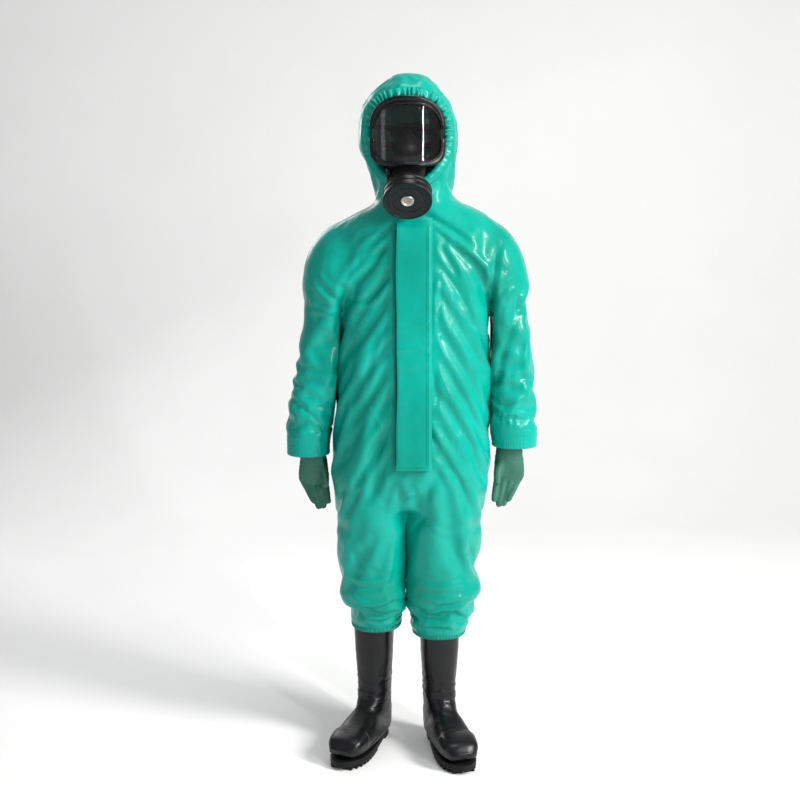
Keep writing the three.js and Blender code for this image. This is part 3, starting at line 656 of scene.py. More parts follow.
def box_obj(name, lo, hi, mat, bevel=0.4, parent=None):
    lo, hi = np.array(lo, float), np.array(hi, float)
    v = [[(lo if (i >> k) & 1 == 0 else hi)[k] for k in range(3)] for i in range(8)]
    f = [(0, 2, 3, 1), (4, 5, 7, 6), (0, 1, 5, 4), (2, 6, 7, 3), (0, 4, 6, 2), (1, 3, 7, 5)]
    o = new_obj(name, np.array(v) / 1000, f, mat)
    fix_normals(o)
    if bevel:
        rounded(o, bevel / 1000, 2)
    return sharpen(o, 50)


def stitches(name, lines, mat, length=3.2, gap=1.3, r=0.42):
    """Rows of stitches. Each line is (points in mm, outward normals)."""
    V, F = [], []
    for pts, nor in lines:
        pts, nor = np.asarray(pts, float), np.asarray(nor, float)
        seg = np.linalg.norm(np.diff(pts, axis=0), axis=1)
        s = np.concatenate([[0], np.cumsum(seg)])
        at = np.arange(gap, s[-1] - length, length + gap)
        for a in at:
            p = [np.interp(q, s, pts[:, k]) for q in (a, a + length) for k in range(3)]
            A, B = np.array(p[:3]), np.array(p[3:])
            nn = np.array([np.interp(a, s, nor[:, k]) for k in range(3)])
            nn /= np.linalg.norm(nn)
            d = (B - A) / np.linalg.norm(B - A)
            w = np.cross(d, nn)
            M = (A + B) / 2
            base = len(V)
            for q, h in ((A, 0.0), (A + d * length * 0.25, r), (B - d * length * 0.25, r), (B, 0.0)):
                V += [q + w * r * 0.8 + nn * (h - r), q + nn * (h + r * 0.6), q - w * r * 0.8 + nn * (h - r)]
            for k in range(3):
                b0, b1 = base + 3 * k, base + 3 * k + 3
                F += [(b0, b1, b1 + 1, b0 + 1), (b0 + 1, b1 + 1, b1 + 2, b0 + 2), (b0 + 2, b1 + 2, b1, b0)]
            F += [(base, base + 1, base + 2), (base + 11, base + 10, base + 9)]
    o = new_obj(name, np.array(V) / 1000, F, mat)
    return fix_normals(o)


def smooth_noise(P, scale, seed=0.0):
    """Perlin noise at points P (mm), about -1..1, with features of about scale mm."""
    out = np.empty(len(P))
    for i, p in enumerate(P):
        out[i] = noise.noise(Vector((p[0] / scale + seed, p[1] / scale - seed, p[2] / scale + 3.7 * seed)))
    return out


# ------------------------------------------------------------------ more materials
def rubber(name, dark, light, rough=(0.38, 0.55), bump=0.12, scale=90, coat=0.0):
    m = Mat(name, Specular_IOR_Level=0.26, Coat_Weight=coat, Coat_Roughness=0.3)
    m.color(m.ramp(m.noise(9, 4, 0.6), [(0.3, dark), (0.72, light)]))
    m.rough(m.ramp(m.noise(38, 4, 0.65), [(0.3, (rough[0],) * 3), (0.7, (rough[1],) * 3)]))
    n1 = m.bump(m.noise(scale, 3, 0.6), bump, 0.0015)
    m.normal(m.bump(m.noise(scale * 9, 2, 0.6), bump, 0.0003, n1))
    return m.m


def metal(name, dark, light, rough=(0.25, 0.42), stretch=(1, 1, 40)):
    m = Mat(name, Metallic=1.0)
    m.color(m.ramp(m.noise(30, 4, 0.6), [(0.3, dark), (0.7, light)]))
    m.rough(m.ramp(m.noise(60, 4, 0.6, stretch=stretch), [(0.3, (rough[0],) * 3), (0.7, (rough[1],) * 3)]))
    m.normal(m.bump(m.noise(220, 2, 0.6, stretch=stretch), 0.08, 0.0004))
    return m.m


BOOT = rubber("boot_pvc", lin(5, 5, 8), lin(11, 12, 16), (0.28, 0.44), 0.10, 42, 0.15)
SOLE = rubber("sole_rubber", lin(7, 8, 9), lin(15, 16, 18), (0.5, 0.72), 0.2, 80)
MASKR = rubber("mask_rubber", lin(7, 7, 8), lin(15, 16, 18), (0.42, 0.6), 0.10, 120)
PLASTIC = rubber("black_plastic", lin(8, 9, 11), lin(16, 18, 21), (0.20, 0.32), 0.06, 160)
CANM = rubber("canister_paint", lin(5, 6, 8), lin(11, 13, 16), (0.24, 0.36), 0.05, 180)
STRAP = rubber("strap_rubber", lin(13, 14, 15), lin(26, 27, 29), (0.55, 0.75), 0.25, 200)
SILICONE = rubber("valve_silicone", lin(120, 108, 88), lin(150, 136, 112), (0.4, 0.6), 0.08, 150)
GLOVE = rubber("glove_nitrile", lin(30, 84, 68), lin(58, 112, 96), (0.42, 0.6), 0.22, 60)
BRASS = metal("brass", lin(150, 104, 48), lin(198, 152, 84))
STEEL = metal("steel", lin(150, 152, 155), lin(205, 207, 210))
PINK = rubber("inlet_seal", lin(150, 122, 106), lin(182, 152, 134), (0.4, 0.55), 0.08, 200)


def tape(name, dark, light):
    m = Mat(name, Specular_IOR_Level=0.3)
    w = m.n("ShaderNodeTexWave", wave_type="BANDS", bands_direction="DIAGONAL")
    w.inputs["Scale"].default_value = 260
    w.inputs["Distortion"].default_value = 1.2
    m.l(m.co, w.inputs["Vector"])
    m.color(m.ramp(w.outputs["Fac"], [(0.2, dark), (0.8, light)]))
    m.rough(m.ramp(m.noise(60), [(0.3, (0.75,) * 3), (0.7, (0.9,) * 3)]))
    m.normal(m.bump(w.outputs["Fac"], 0.4, 0.0005))
    return m.m


TAPE = tape("zip_tape", lin(4, 84, 72), lin(10, 112, 98))
FUZZ = tape("hook_and_loop", lin(6, 92, 80), lin(16, 124, 108))
PAPER = tape("filter_paper", lin(196, 190, 178), lin(228, 224, 214))
FELT = tape("insole_felt", lin(30, 30, 32), lin(52, 52, 54))
CARBON = rubber("carbon", lin(10, 10, 10), lin(40, 40, 42), (0.7, 0.95), 0.9, 300)
THREAD = coated("thread", lin(2, 120, 104), lin(4, 138, 122), lin(10, 156, 140), (0.5, 0.7))


def lens_material():
    m = Mat("visor_clear", IOR=1.5, Transmission_Weight=1.0, Alpha=0.26, Specular_IOR_Level=0.9, Coat_Weight=1.0, Coat_Roughness=0.015)
    # faint wiping haze over clear plastic
    m.color(m.ramp(m.noise(12, 4, 0.6, stretch=(1, 1, 0.3)), [(0.35, lin(236, 243, 244)), (0.75, lin(250, 252, 252))]))
    m.rough(m.ramp(m.noise(22, 4, 0.6), [(0.35, (0.02,) * 3), (0.8, (0.06,) * 3)]))
    return m.m


LENSM = lens_material()


# ------------------------------------------------------------------ mask
MX, MZ = -6.0, 1630.0
LENS = dict(x=MX, z=MZ, a=84.0, up=76.0, down=72.0, n=2.5, low=4.6)
TILT = math.radians(43)
AX = Vector((0, -math.cos(TILT), -math.sin(TILT)))
AU = Vector((0, -math.sin(TILT), math.cos(TILT)))
CLEN, CB = 46.0, 20.2
CF = CB + CLEN
FRONT = Vector((MX, -190, 1465))
PORT = FRONT - AX * (CLEN + 20.2)
PORT_M = PORT / 1000


def visor_y(x):
    return -138 + 36 * ((x - MX) / 92) ** 2


def outline(o, t, grow=0.0):
    C, S = np.cos(t), np.sin(t)
    a = o["a"] + grow
    b = np.where(S >= 0, o["up"], o["down"]) + grow
    n = np.where(S < 0, o.get("low", o["n"]), o["n"])
    return (
        o["x"] + np.sign(C) * np.abs(C) ** (2 / n) * a,
        o["z"] + np.sign(S) * np.abs(S) ** (2 / n) * b,
    )


def even_angles(o, n, t0=0.0, t1=2 * math.pi):
    """Angles that step evenly along the outline."""
    t = np.linspace(t0, t1, 4000)
    x, z = outline(o, t)
    s = np.concatenate([[0], np.cumsum(np.hypot(np.diff(x), np.diff(z)))])
    return np.interp(np.linspace(0, s[-1], n), s, t)


def build_lens():
    n, rad = 128, [0.0, 0.2, 0.4, 0.58, 0.72, 0.84, 0.93, 0.98, 1.0]
    t = even_angles(LENS, n + 1)[:-1]
    X, Z = outline(LENS, t)
    V = []
    for dy, rr in ((-1.2, rad[1:]), (1.2, rad[1:][::-1])):
        for f in rr:
            px, pz = LENS["x"] + (X - LENS["x"]) * f, LENS["z"] + (Z - LENS["z"]) * f
            V += [(a, visor_y(a) + dy, b) for a, b in zip(px, pz)]
    R = 2 * (len(rad) - 1)
    F = grid_faces(R, n, False, True)
    V += [(LENS["x"], visor_y(LENS["x"]) - 1.2, LENS["z"]), (LENS["x"], visor_y(LENS["x"]) + 1.2, LENS["z"])]
    a, b = len(V) - 2, len(V) - 1
    for i in range(n):
        j = (i + 1) % n
        F += [(a, i, j), (b, (R - 1) * n + j, (R - 1) * n + i)]
    o = fix_normals(new_obj("visor_glass", np.array(V) / 1000, F, LENSM))
    return sharpen(o, 50)


def frame_part(name, t0, t1, mat):
    """One half of the visor's clamp: a moulded bar with a rounded lip, swept along the lens edge."""
    n = 150
    t = even_angles(LENS, n, t0, t1)
    lip = 12.0 if t0 < 1 else 3.0  # the brow of the upper half is deep at its middle
    prof = fillet(
        [(0.5, -1.7), (-11.4, -1.7), (-11.4, -4.0), (-8.6, -5.2), (-5.2, -5.4), (-4.4, -4.4), (-3.0, -4.4), (-2.2, -6.6), (2.4, -8.9), (6.4, -9.2),
         (9.0, -7.0), (9.5, 0), (9.2, 5.2), (5, 7), (0.6, 6)], 0.9, 3)
    V = []
    for k, a in enumerate(t):
        end = min(k, n - 1 - k) / 6
        e = 1 - 0.25 * max(0, 1 - end) ** 2
        for g, dy in prof:
            g2 = 0.6 + (g - 0.6) * e
            if g < 0.6:
                g2 = 0.6 + (g - 0.6) * (3.0 + (lip - 3.0) * math.sin(a) ** 2 if t0 < 1 else lip) / 12
            x, z = outline(LENS, np.array(a), g2)
            V.append((float(x), visor_y(float(x)) + dy * e, float(z)))
    m = len(prof)
    F = grid_faces(n, m, False, True)
    F += [tuple(range(m)), tuple(range((n - 1) * m, n * m))[::-1]]
    o = fix_normals(new_obj(name, np.array(V) / 1000, F, mat))
    return sharpen(o, 45)


def mask_rings(grow, ns=22, n=96):
    o = dict(LENS, low=4.2)
    out = []
    for s in np.linspace(0, 1, ns):
        o.update(a=90 - 24 * s + grow, up=82 - 12 * s + grow, down=80 - 10 * s + grow)
        t = even_angles(o, n + 1)[:-1]
        X, Z = outline(o, t)
        y = (1 - s) * (visor_y(X) + 7.8) + s * -40
        # from just behind the frame the wall runs straight back towards the face
        out.append(np.stack([X, y, Z], 1))
    return out


def build_facepiece():
    n = 96
    outer, inner = mask_rings(0.0), mask_rings(-4.0)
    rings = outer + inner[::-1]
    V = np.concatenate(rings) / 1000
    F = grid_faces(len(rings), n, True, True)
    shell = new_obj("f", V, F, MASKR)
    fix_normals(shell)
    rows = [(-86, 36, 24, 22), (-68, 46, 26, 24), (-50, 45, 28, 17), (-34, 42, 28, 14), (-22, 37, 28, 17), (-12, 32, 28, 23), (-5, 29.5, 28, 27), (0, 29, 28, 28)]
    rr = []
    for d, a, dn, up in rows:
        c = np.array(PORT + AX * d)
        q = ring((0, 0, 0), EX, EY, 1, 1, 2.3, 64)
        P = [c + p[0] * a * EX + np.array(AU) * (p[1] * (up if p[1] > 0 else dn)) for p in q]
        rr.append(np.array(P))
    boss = tube_mesh(rr)
    # a thick bead where the rubber is rolled round the connector
    o = joined([shell, boss], "facepiece", 0.0021)
    me = o.data
    P = relax(coords(me), edges_of(me), 5)
    set_coords(me, P)
    me.materials.clear()
    me.materials.append(MASKR)
    me.polygons.foreach_set("use_smooth", [True] * len(me.polygons))
    return o


def build_nose_cup():
    rows = [(-46, 34, 44, 30), (-58, 36, 42, 31), (-72, 34, 36, 32), (-86, 28, 29, 30), (-98, 22, 20, 26), (-107, 15, 11, 20), (-112, 8, 5, 10)]
    # y, half width, height up, height down from z 1598
    V, n = [], 64
    t = np.arange(n) / n * 2 * np.pi
    k = np.linspace(0, len(rows) - 1, 26)
    q = interp_rows([(i, *r) for i, r in enumerate(rows)], k)
    rings = []
    for y, w, up, dn in zip(*q):
        C, S = np.cos(t), np.sin(t)
        zz = np.where(S >= 0, up * S, np.sign(S) * np.abs(S) ** 0.8 * dn)
        ww = w * np.sign(C) * np.abs(C) ** 0.9 * np.where(S > 0, 1 - 0.62 * S**1.2, 1.0)
        rings.append(np.stack([MX + ww, np.full(n, y) + 4 * (1 - np.abs(C)) * 0, 1597 + zz], 1))
    V = np.concatenate(rings)
    F = grid_faces(len(rings), n, False, True)
    V = np.concatenate([V, [[MX, -114, 1597]]])
    a = (len(rings) - 1) * n
    F += [(len(V) - 1, a + i, a + (i + 1) % n) for i in range(n)]
    o = fix_normals(new_obj("nose_cup_rubber", V / 1000, F, MASKR))
    m = o.modifiers.new("s", "SOLIDIFY")
    m.thickness = 0.0022
    m.offset = -1
    bpy.context.view_layer.objects.active = o
    bpy.ops.object.modifier_apply(modifier="s")
    return o


def ride_all(objs, body, *nodes):
    for k, o in enumerate(objs):
        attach(o, body)
    if nodes:
        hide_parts(*nodes)


def build_mask():
    lens = build_lens()
    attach(lens, "mask")
    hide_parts("visor_lens")
    up = frame_part("visor_clamp_upper", 0.05, math.pi - 0.05, PLASTIC)
    lo = frame_part("visor_clamp_lower", math.pi + 0.02, 2 * math.pi - 0.02, PLASTIC)
    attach(up, "mask")
    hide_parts("visor_frame_upper")
    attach(lo, "mask")
    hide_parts("visor_frame_lower")
    face = build_facepiece()
    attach(face, "mask")
    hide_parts("mask_facepiece")
    nose = build_nose_cup()
    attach(nose, "mask")
    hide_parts("nose_cup")
    # two screws at each temple clamp the frame halves together
    scr = []
    for s in (-1, 1):
        for dz in (-7, 9):
            x = MX + s * 90.5
            y = visor_y(x)
            p = Vector((x, y - 8.2, 1632 + dz)) / 1000
            d = Vector((s * 0.35, -1, 0))
            scr.append(
                lathe("screw", [(0, 1.2), (0.7, 1.2), (0.8, 1.7), (1.7, 1.6), (2.2, 1.0), (2.2, -2), (0, -2)], p, d, PLASTIC, 24)
            )
    bpy.ops.object.select_all(action="DESELECT")
    for o in scr:
        o.select_set(True)
    bpy.context.view_layer.objects.active = scr[0]
    bpy.ops.object.join()
    scr = bpy.context.view_layer.objects.active
    scr.name = "frame_screws"
    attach(scr, "mask")
    # port pieces
    P = PORT_M
    con = lathe(
        "port_connector",
        fillet([(20.7, 0.4), (28, 0.4), (28, 3), (26.6, 4), (26.6, 5.4), (28, 6.4), (28, 11), (26, 15.2), (20.7, 15.2)], 0.6),
        P, AX, PLASTIC, 72,
    )
    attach(con, "mask")
    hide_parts("filter_connector")
    seat = lathe("valve_seat", fillet([(10, -2.2), (20.5, -2.2), (20.5, -0.4), (10, -0.4)], 0.5), P, AX, PLASTIC, 48)
    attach(seat, "mask")
    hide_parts("inhalation_valve_seat")
    disc = lathe("inhale_disc", [(0, -3.7), (13.4, -3.7), (14, -3.4), (14, -3.0), (13.4, -2.7), (2.4, -2.7), (2.0, -2.2), (0, -2.2)], P, AX, SILICONE, 48)
    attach(disc, "inhalation_disc")
    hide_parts("inhalation_valve_disc")
    gas = lathe("thread_gasket", fillet([(21, 16), (29, 16), (29, 19.6), (21, 19.6)], 1.0), P, AX, MASKR, 72)
    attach(gas, "gasket")
    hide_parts("connector_gasket")
    # exhalation outlet
    vp = (PORT - AX * 30) / 1000
    vp = Vector((vp.x - 0.0435, vp.y, vp.z))
    cov = lathe(
        "exhale_cover",
        fillet([(13.2, 0), (16, 0), (16, 5), (15, 7), (12, 8.6), (8, 9), (7, 8.2), (4, 9), (4, 7.4), (12.2, 6.6), (13.2, 5.4)], 0.5),
        vp, (-1, 0, 0), PLASTIC, 48, xdir=(0, 1, 0),
    )
    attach(cov, "mask")
    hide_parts("exhalation_cover")
    ed = lathe("exhale_disc", [(0, 0.4), (11.4, 0.4), (12, 0.7), (12, 1.1), (11.4, 1.4), (0, 1.4)], vp, (-1, 0, 0), SILICONE, 40, xdir=(0, 1, 0))
    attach(ed, "exhalation_disc")
    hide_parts("exhalation_valve_disc")


def build_canister():
    P = PORT_M
    bead = []
    for c in (13.0, 27.0):
        for k in range(9):
            a = k / 8 * math.pi
            bead.append((57.4 + 1.7 * math.sin(a), CB + c + 2.6 * (k / 8 - 0.5) * 1.8))
    prof = (
        [(15, 2), (19.2, 2), (20, 2.8)]
        + [(20 - 0.5 * (k % 2), 4 + k * 1.8) for k in range(9)]
        + [(20, CB), (38, CB), (41, CB + 0.8), (48, CB + 1.6), (54, CB + 4.2), (57, CB + 8.4)]
        + bead
        + [(57.4, CF - 6.6), (56, CF - 6.6), (56, CB + 10), (52, CB + 6.2), (39.5, CB + 2), (15, CB + 2)]
    )
    body = lathe("canister_can", prof, P, AX, CANM, 128)
    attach(body, "canister")
    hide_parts("canister_body")
    lid = lathe(
        "canister_front",
        fillet(
            [(16.6, CF - 5.2), (50, CF - 5.2), (50, CF - 6.2), (57.6, CF - 6.2), (59.3, CF - 4.4), (59.3, CF - 1.4), (57.8, CF),
             (55.4, CF), (54, CF - 1.6), (51.5, CF - 2.4), (41, CF - 2.4), (39.6, CF - 3.4), (37, CF - 3.4), (35.6, CF - 2.6), (24, CF - 2.6), (22.6, CF - 3.6), (19, CF - 3.6), (16.6, CF - 3.0)],
            0.9, 3,
        ),
        P, AX, CANM, 128,
    )
    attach(lid, "canister")
    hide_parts("canister_lid")
    ringp = lathe(
        "inlet_collar",
        fillet([(9, CF - 5), (16, CF - 5), (16, CF - 1.8), (14.6, CF - 0.3), (12.4, CF - 0.3), (11.4, CF - 1.6), (9, CF - 2.2)], 0.6),
        P, AX, STEEL, 64,
    )
    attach(ringp, "canister")
    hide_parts("inlet_ring")
    plug = lathe("inlet_cap", [(0, CF - 4.4), (8.8, CF - 4.4), (8.8, CF - 3.4), (8.0, CF - 2.9), (5.2, CF - 2.9), (4.6, CF - 3.6), (2.4, CF - 3.6), (2.0, CF - 3.0), (0, CF - 3.0)], P, AX, PINK, 48)
    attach(plug, "canister")
    scr = frame["nodes"]
    for n, m in (("particulate_filter", PAPER), ("carbon_bed", CARBON), ("inlet_screen", STEEL)):
        finish(n, m)


def finish(node, mat):
    """Gives a carried-over CAD node its finish."""
    o = frame["nodes"][node]
    o = bpy.data.objects[o] if isinstance(o, str) else o
    o.data.materials.clear()
    o.data.materials.append(mat)


# ------------------------------------------------------------------ coverall
def boundary_verts(me):
    e = np.empty(len(me.loops), np.int32)
    me.loops.foreach_get("edge_index", e)
    uses = np.bincount(e, minlength=len(me.edges))
    return np.unique(edges_of(me)[uses == 1])


def subdivided(o, P):
    me = o.data.copy()
    set_coords(me, P / 1000)
    c = bpy.data.objects.new("sub", me)
    SC.collection.objects.link(c)
    m = c.modifiers.new("s", "SUBSURF")
    m.levels = m.render_levels = 1
    bpy.context.view_layer.objects.active = c
    bpy.ops.object.modifier_apply(modifier="s")
    return c


def pins(P0):
    x, y, z = P0.T
    pin = np.zeros(len(P0))
    hemz = np.where(x < SPLIT_X, HEM[-1], HEM[1])
    pin = np.maximum(pin, np.where(z < 640, 1 - sm((z - hemz) / 22), 0))
    arm = (x < -222) | (x > 226)
    ct = np.where(x < 0, CUFF_TOP[-1], CUFF_TOP[1])
    pin = np.maximum(pin, np.where(arm, 1 - sm((z - ct) / 14), 0))
    pin = np.maximum(pin, np.where((z > 1450) & (y < 0), 1 - sm(open_dist(x, z) / 22), 0))
    zipd = np.maximum(np.abs(x - 12) - 44, 0) + np.maximum(z - 1405, 0) + np.maximum(765 - z, 0)
    pin = np.maximum(pin, np.where(y < -60, 1 - sm(zipd / 20), 0))
    pin = np.maximum(pin, 0.25 * sm((z - 1490) / 60))
    return np.maximum(pin, 0.1)


# Folds laid over the simulated cloth: (side view y sign, points (x, z) in mm, half width, height)
STROKES = [
    (-1, [(-169, 1261), (-146, 1293), (-122, 1313), (-93, 1332), (-61, 1349), (-39, 1361)], 7.8, -3.4),
    (-1, [(-156, 1305), (-127, 1332), (-92, 1356), (-58, 1373), (-36, 1383)], 7.4, 2.6),
    (-1, [(-159, 1217), (-132, 1220), (-108, 1225), (-88, 1242), (-68, 1266), (-46, 1296)], 7.4, -3.6),
    (-1, [(-152, 1205), (-128, 1205), (-100, 1213), (-76, 1232), (-56, 1259), (-39, 1286)], 7.8, 3.0),
    (-1, [(-169, 1271), (-164, 1235), (-167, 1193), (-172, 1153)], 9.8, -7),
    (-1, [(-63, 1320), (-49, 1305), (-42, 1276), (-44, 1227)], 6.4, 2.0),
    (-1, [(-194, 1373), (-158, 1392), (-109, 1402), (-73, 1407)], 7.4, 2.0),
    (-1, [(-141, 1359), (-117, 1380), (-87, 1395), (-58, 1399)], 6.4, -2.2),
    (-1, [(-32, 1029), (-55, 941), (-80, 865), (-95, 775), (-98, 697)], 19.6, -5.0),
    (-1, [(-110, 928), (-115, 852), (-111, 775), (-101, 697)], 14.7, 3.2),
    (-1, [(-66, 1153), (-79, 1104), (-89, 1049), (-104, 999)], 7.4, 1.8),
    (-1, [(-44, 1153), (-54, 1099), (-64, 1049), (-84, 999)], 8.6, -2.0),
    (-1, [(-119, 974), (-99, 954), (-80, 923), (-60, 888)], 5.9, 1.6),
    (-1, [(-143, 1166), (-148, 1067), (-144, 954), (-138, 852)], 17.2, -3.0),
    (-1, [(-118, 1166), (-124, 1067), (-119, 979)], 14.7, 2.6),
    (-1, [(73, 1296), (88, 1274), (103, 1249), (118, 1227)], 5.4, 3.4),
    (-1, [(73, 1293), (66, 1266), (61, 1227), (59, 1178), (62, 1134)], 6.4, 3.0),
    (-1, [(73, 1373), (83, 1344), (95, 1320), (110, 1296), (125, 1269)], 6.9, -3.8),
    (-1, [(90, 1378), (105, 1351), (122, 1327), (141, 1305)], 7.4, 2.6),
    (-1, [(127, 1344), (156, 1322), (178, 1298), (196, 1261)], 6.9, -3.2),
    (-1, [(126, 1359), (156, 1339), (180, 1317), (198, 1288)], 7.4, 2.4),
    (-1, [(63, 1409), (90, 1392), (114, 1373), (139, 1354)], 7.4, 2.0),
    (-1, [(110, 1237), (125, 1195), (148, 1153), (175, 1104)], 12.2, -3.4),
    (-1, [(137, 1247), (157, 1198), (180, 1149), (197, 1104)], 9.8, 2.0),
    (-1, [(57, 1059), (60, 1009), (70, 954)], 8.3, -3.4),
    (-1, [(45, 1049), (47, 999), (55, 949)], 9.8, 2.2),
    (-1, [(32, 933), (45, 898), (65, 862), (75, 821)], 7.8, -4.0),
    (-1, [(50, 933), (65, 900), (82, 867)], 8.3, 2.4),
    (-1, [(70, 811), (60, 765), (28, 726), (-5, 690)], 14.7, -6.0),
    (-1, [(-20, 790), (-15, 749), (0, 716)], 11.0, 3.0),
    (-1, [(112, 875), (155, 893), (192, 928)], 12.2, 3.0),
    (-1, [(148, 1079), (169, 1017), (179, 954)], 14.7, -2.6),
    (-1, [(-220, 1269), (-198, 1239), (-173, 1206)], 7.4, -4.2),
    (-1, [(-227, 1294), (-207, 1259), (-185, 1226)], 6.9, 3.0),
    (-1, [(-247, 1269), (-223, 1239), (-190, 1211)], 7.4, 3.0),
    (-1, [(-255, 1251), (-233, 1224), (-205, 1204)], 7.4, -2.4),
    (-1, [(-263, 1189), (-231, 1191), (-185, 1194)], 6.4, 3.0),
    (-1, [(-246, 1174), (-208, 1174), (-176, 1181)], 8.8, -4.2),
    (-1, [(-201, 1166), (-194, 1126), (-202, 1083), (-210, 1039)], 12.2, 3.0),
    (-1, [(-264, 1121), (-242, 1083), (-222, 1055)], 12.2, -2.6),
    (-1, [(-277, 1095), (-252, 1067), (-225, 1042)], 8.8, 2.2),
    (-1, [(-296, 890), (-270, 874), (-240, 872), (-212, 882)], 7.4, 2.2),
    (-1, [(-279, 988), (-264, 942), (-250, 905)], 9.8, 1.8),
    (-1, [(216, 1375), (207, 1296), (203, 1221), (204, 1121), (202, 1019)], 8.3, -6.0),
    (-1, [(270, 1269), (245, 1256), (218, 1236)], 5.4, -3.0),
    (-1, [(272, 1256), (253, 1224), (243, 1189)], 7.4, 3.0),
    (-1, [(223, 1229), (233, 1209), (246, 1189)], 6.4, 2.0),
    (-1, [(231, 1375), (236, 1333), (247, 1291)], 7.8, 2.4),
    (-1, [(253, 1363), (264, 1326), (272, 1281)], 7.4, -3.0),
    (-1, [(274, 1316), (272, 1246), (263, 1176), (242, 1100), (223, 1032), (221, 955)], 12.2, -6.0),
    (-1, [(290, 1221), (294, 1146), (301, 1057), (302, 967)], 10.8, 2.6),
    (-1, [(257, 1133), (242, 1070), (238, 1006), (244, 962)], 8.3, 2.6),
    (-1, [(241, 939), (237, 918), (240, 895)], 4.9, 2.0),
    (-1, [(259, 939), (252, 918), (257, 895)], 4.9, 2.0),
    (-1, [(277, 934), (270, 913), (273, 890)], 4.9, 2.0),
    (-1, [(-158, 480), (-124, 474), (-83, 477), (-44, 488)], 6.4, -2.8),
    (-1, [(-168, 507), (-135, 493), (-91, 493), (-44, 507)], 8.8, 3.4),
    (-1, [(-166, 461), (-140, 442), (-104, 431), (-67, 436), (-34, 455)], 7.8, 3.6),
    (-1, [(-153, 436), (-130, 420), (-101, 412), (-78, 415), (-52, 428), (-29, 444)], 6.4, -6.0),
    (-1, [(-113, 711), (-113, 632), (-108, 552)], 14.7, 3.0),
    (-1, [(-69, 738), (-67, 659), (-64, 579)], 17.2, -3.6),
    (-1, [(-98, 547), (-72, 525), (-36, 525)], 9.8, 3.0),
    (-1, [(-159, 606), (-144, 566), (-124, 525)], 8.6, -3.0),
    (-1, [(-21, 439), (3, 420), (29, 404), (55, 390), (91, 385)], 6.4, -6.4),
    (-1, [(-5, 439), (26, 425), (60, 420)], 7.4, 3.2),
    (-1, [(52, 420), (81, 425), (117, 428), (153, 444)], 5.4, -4.4),
    (-1, [(52, 406), (91, 412), (130, 420), (158, 431)], 6.4, 3.2),
    (-1, [(5, 461), (78, 455), (156, 466)], 7.4, -2.4),
    (-1, [(0, 485), (73, 477), (160, 490)], 9.8, 3.0),
    (-1, [(46, 653), (74, 632), (111, 616)], 7.4, 2.4),
    (-1, [(89, 738), (108, 659), (124, 579)], 14.7, -3.0),
    (-1, [(148, 711), (146, 632), (144, 552)], 12.2, 3.0),
    (-1, [(134, 592), (152, 566), (176, 536)], 7.8, -3.0),
    (-1, [(-112, 1612), (-105, 1564), (-88, 1517), (-71, 1468)], 7.4, -3.6),
    (-1, [(-121, 1640), (-117, 1593), (-102, 1545), (-85, 1493)], 7.4, 2.6),
    (-1, [(102, 1564), (98, 1517), (83, 1478)], 7.4, -3.0),
    (-1, [(85, 1553), (76, 1505), (59, 1456)], 8.3, 2.6),
    (-1, [(43, 1763), (72, 1730), (92, 1688), (102, 1640)], 7.4, -2.8),
    (-1, [(24, 1767), (55, 1735), (75, 1697)], 7.4, 2.2),
    (-1, [(-43, 1763), (-63, 1742), (-87, 1711)], 6.4, -2.4),
    (-1, [(-19, 1770), (-22, 1753), (-24, 1730)], 7.4, 2.2),
]


def stroke_field(P, N):
    """Height of the laid folds at each point."""
    H = np.zeros(len(P))
    for face, pts, width, height in STROKES:
        q = np.array(pts, float)
        near = (P[:, 0] > q[:, 0].min() - 4 * width) & (P[:, 0] < q[:, 0].max() + 4 * width)
        near &= (P[:, 2] > q[:, 1].min() - 4 * width) & (P[:, 2] < q[:, 1].max() + 4 * width)
        near &= N[:, 1] * face > -0.15
        idx = np.nonzero(near)[0]
        if not len(idx):
            continue
        p = P[idx][:, [0, 2]]
        best = np.full(len(idx), 1e9)
        along = np.zeros(len(idx))
        seg = np.linalg.norm(np.diff(q, axis=0), axis=1)
        s0 = np.concatenate([[0], np.cumsum(seg)])
        for k in range(len(q) - 1):
            a, b = q[k], q[k + 1]
            t = np.clip(((p - a) @ (b - a)) / max(seg[k] ** 2, 1e-6), 0, 1)
            d = np.linalg.norm(p - (a + t[:, None] * (b - a)), axis=1)
            m = d < best
            best[m] = d[m]
            along[m] = (s0[k] + t[m] * seg[k]) / s0[-1]
        taper = sm(along / 0.18) * sm((1 - along) / 0.25)
        u = best / width
        # a ridge with a shallow valley on either side
        H[idx] += height * taper * (np.exp(-(u**2)) - 0.35 * np.exp(-((u - 2.0) ** 2) / 0.8))
    return H


def split(o, P, labels, names):
    """Cuts one continuous mesh into named pieces that keep its normals, so no seam shows between them."""
    me = o.data
    set_coords(me, P / 1000)
    N = vnormals(me)
    L = np.empty(len(me.loops), np.int32)
    me.loops.foreach_get("vertex_index", L)
    quads = L.reshape(-1, 4)
    out = {}
    for k, name in enumerate(names):
        f = quads[labels == k]
        u, inv = np.unique(f, return_inverse=True)
        m = bpy.data.meshes.new(name)
        m.vertices.add(len(u))
        m.vertices.foreach_set("co", (P[u] / 1000).astype(np.float32).ravel())
        m.loops.add(len(f) * 4)
        m.loops.foreach_set("vertex_index", inv.ravel().astype(np.int32))
        m.polygons.add(len(f))
        m.polygons.foreach_set("loop_start", (np.arange(len(f)) * 4).astype(np.int32))
        m.update(calc_edges=True)
        m.validate()
        m.polygons.foreach_set("use_smooth", [True] * len(m.polygons))
        m.normals_split_custom_set_from_vertices(N[u].tolist())
        m.materials.append(SUIT)
        p = bpy.data.objects.new(name, m)
        SC.collection.objects.link(p)
        out[name] = p
    return out


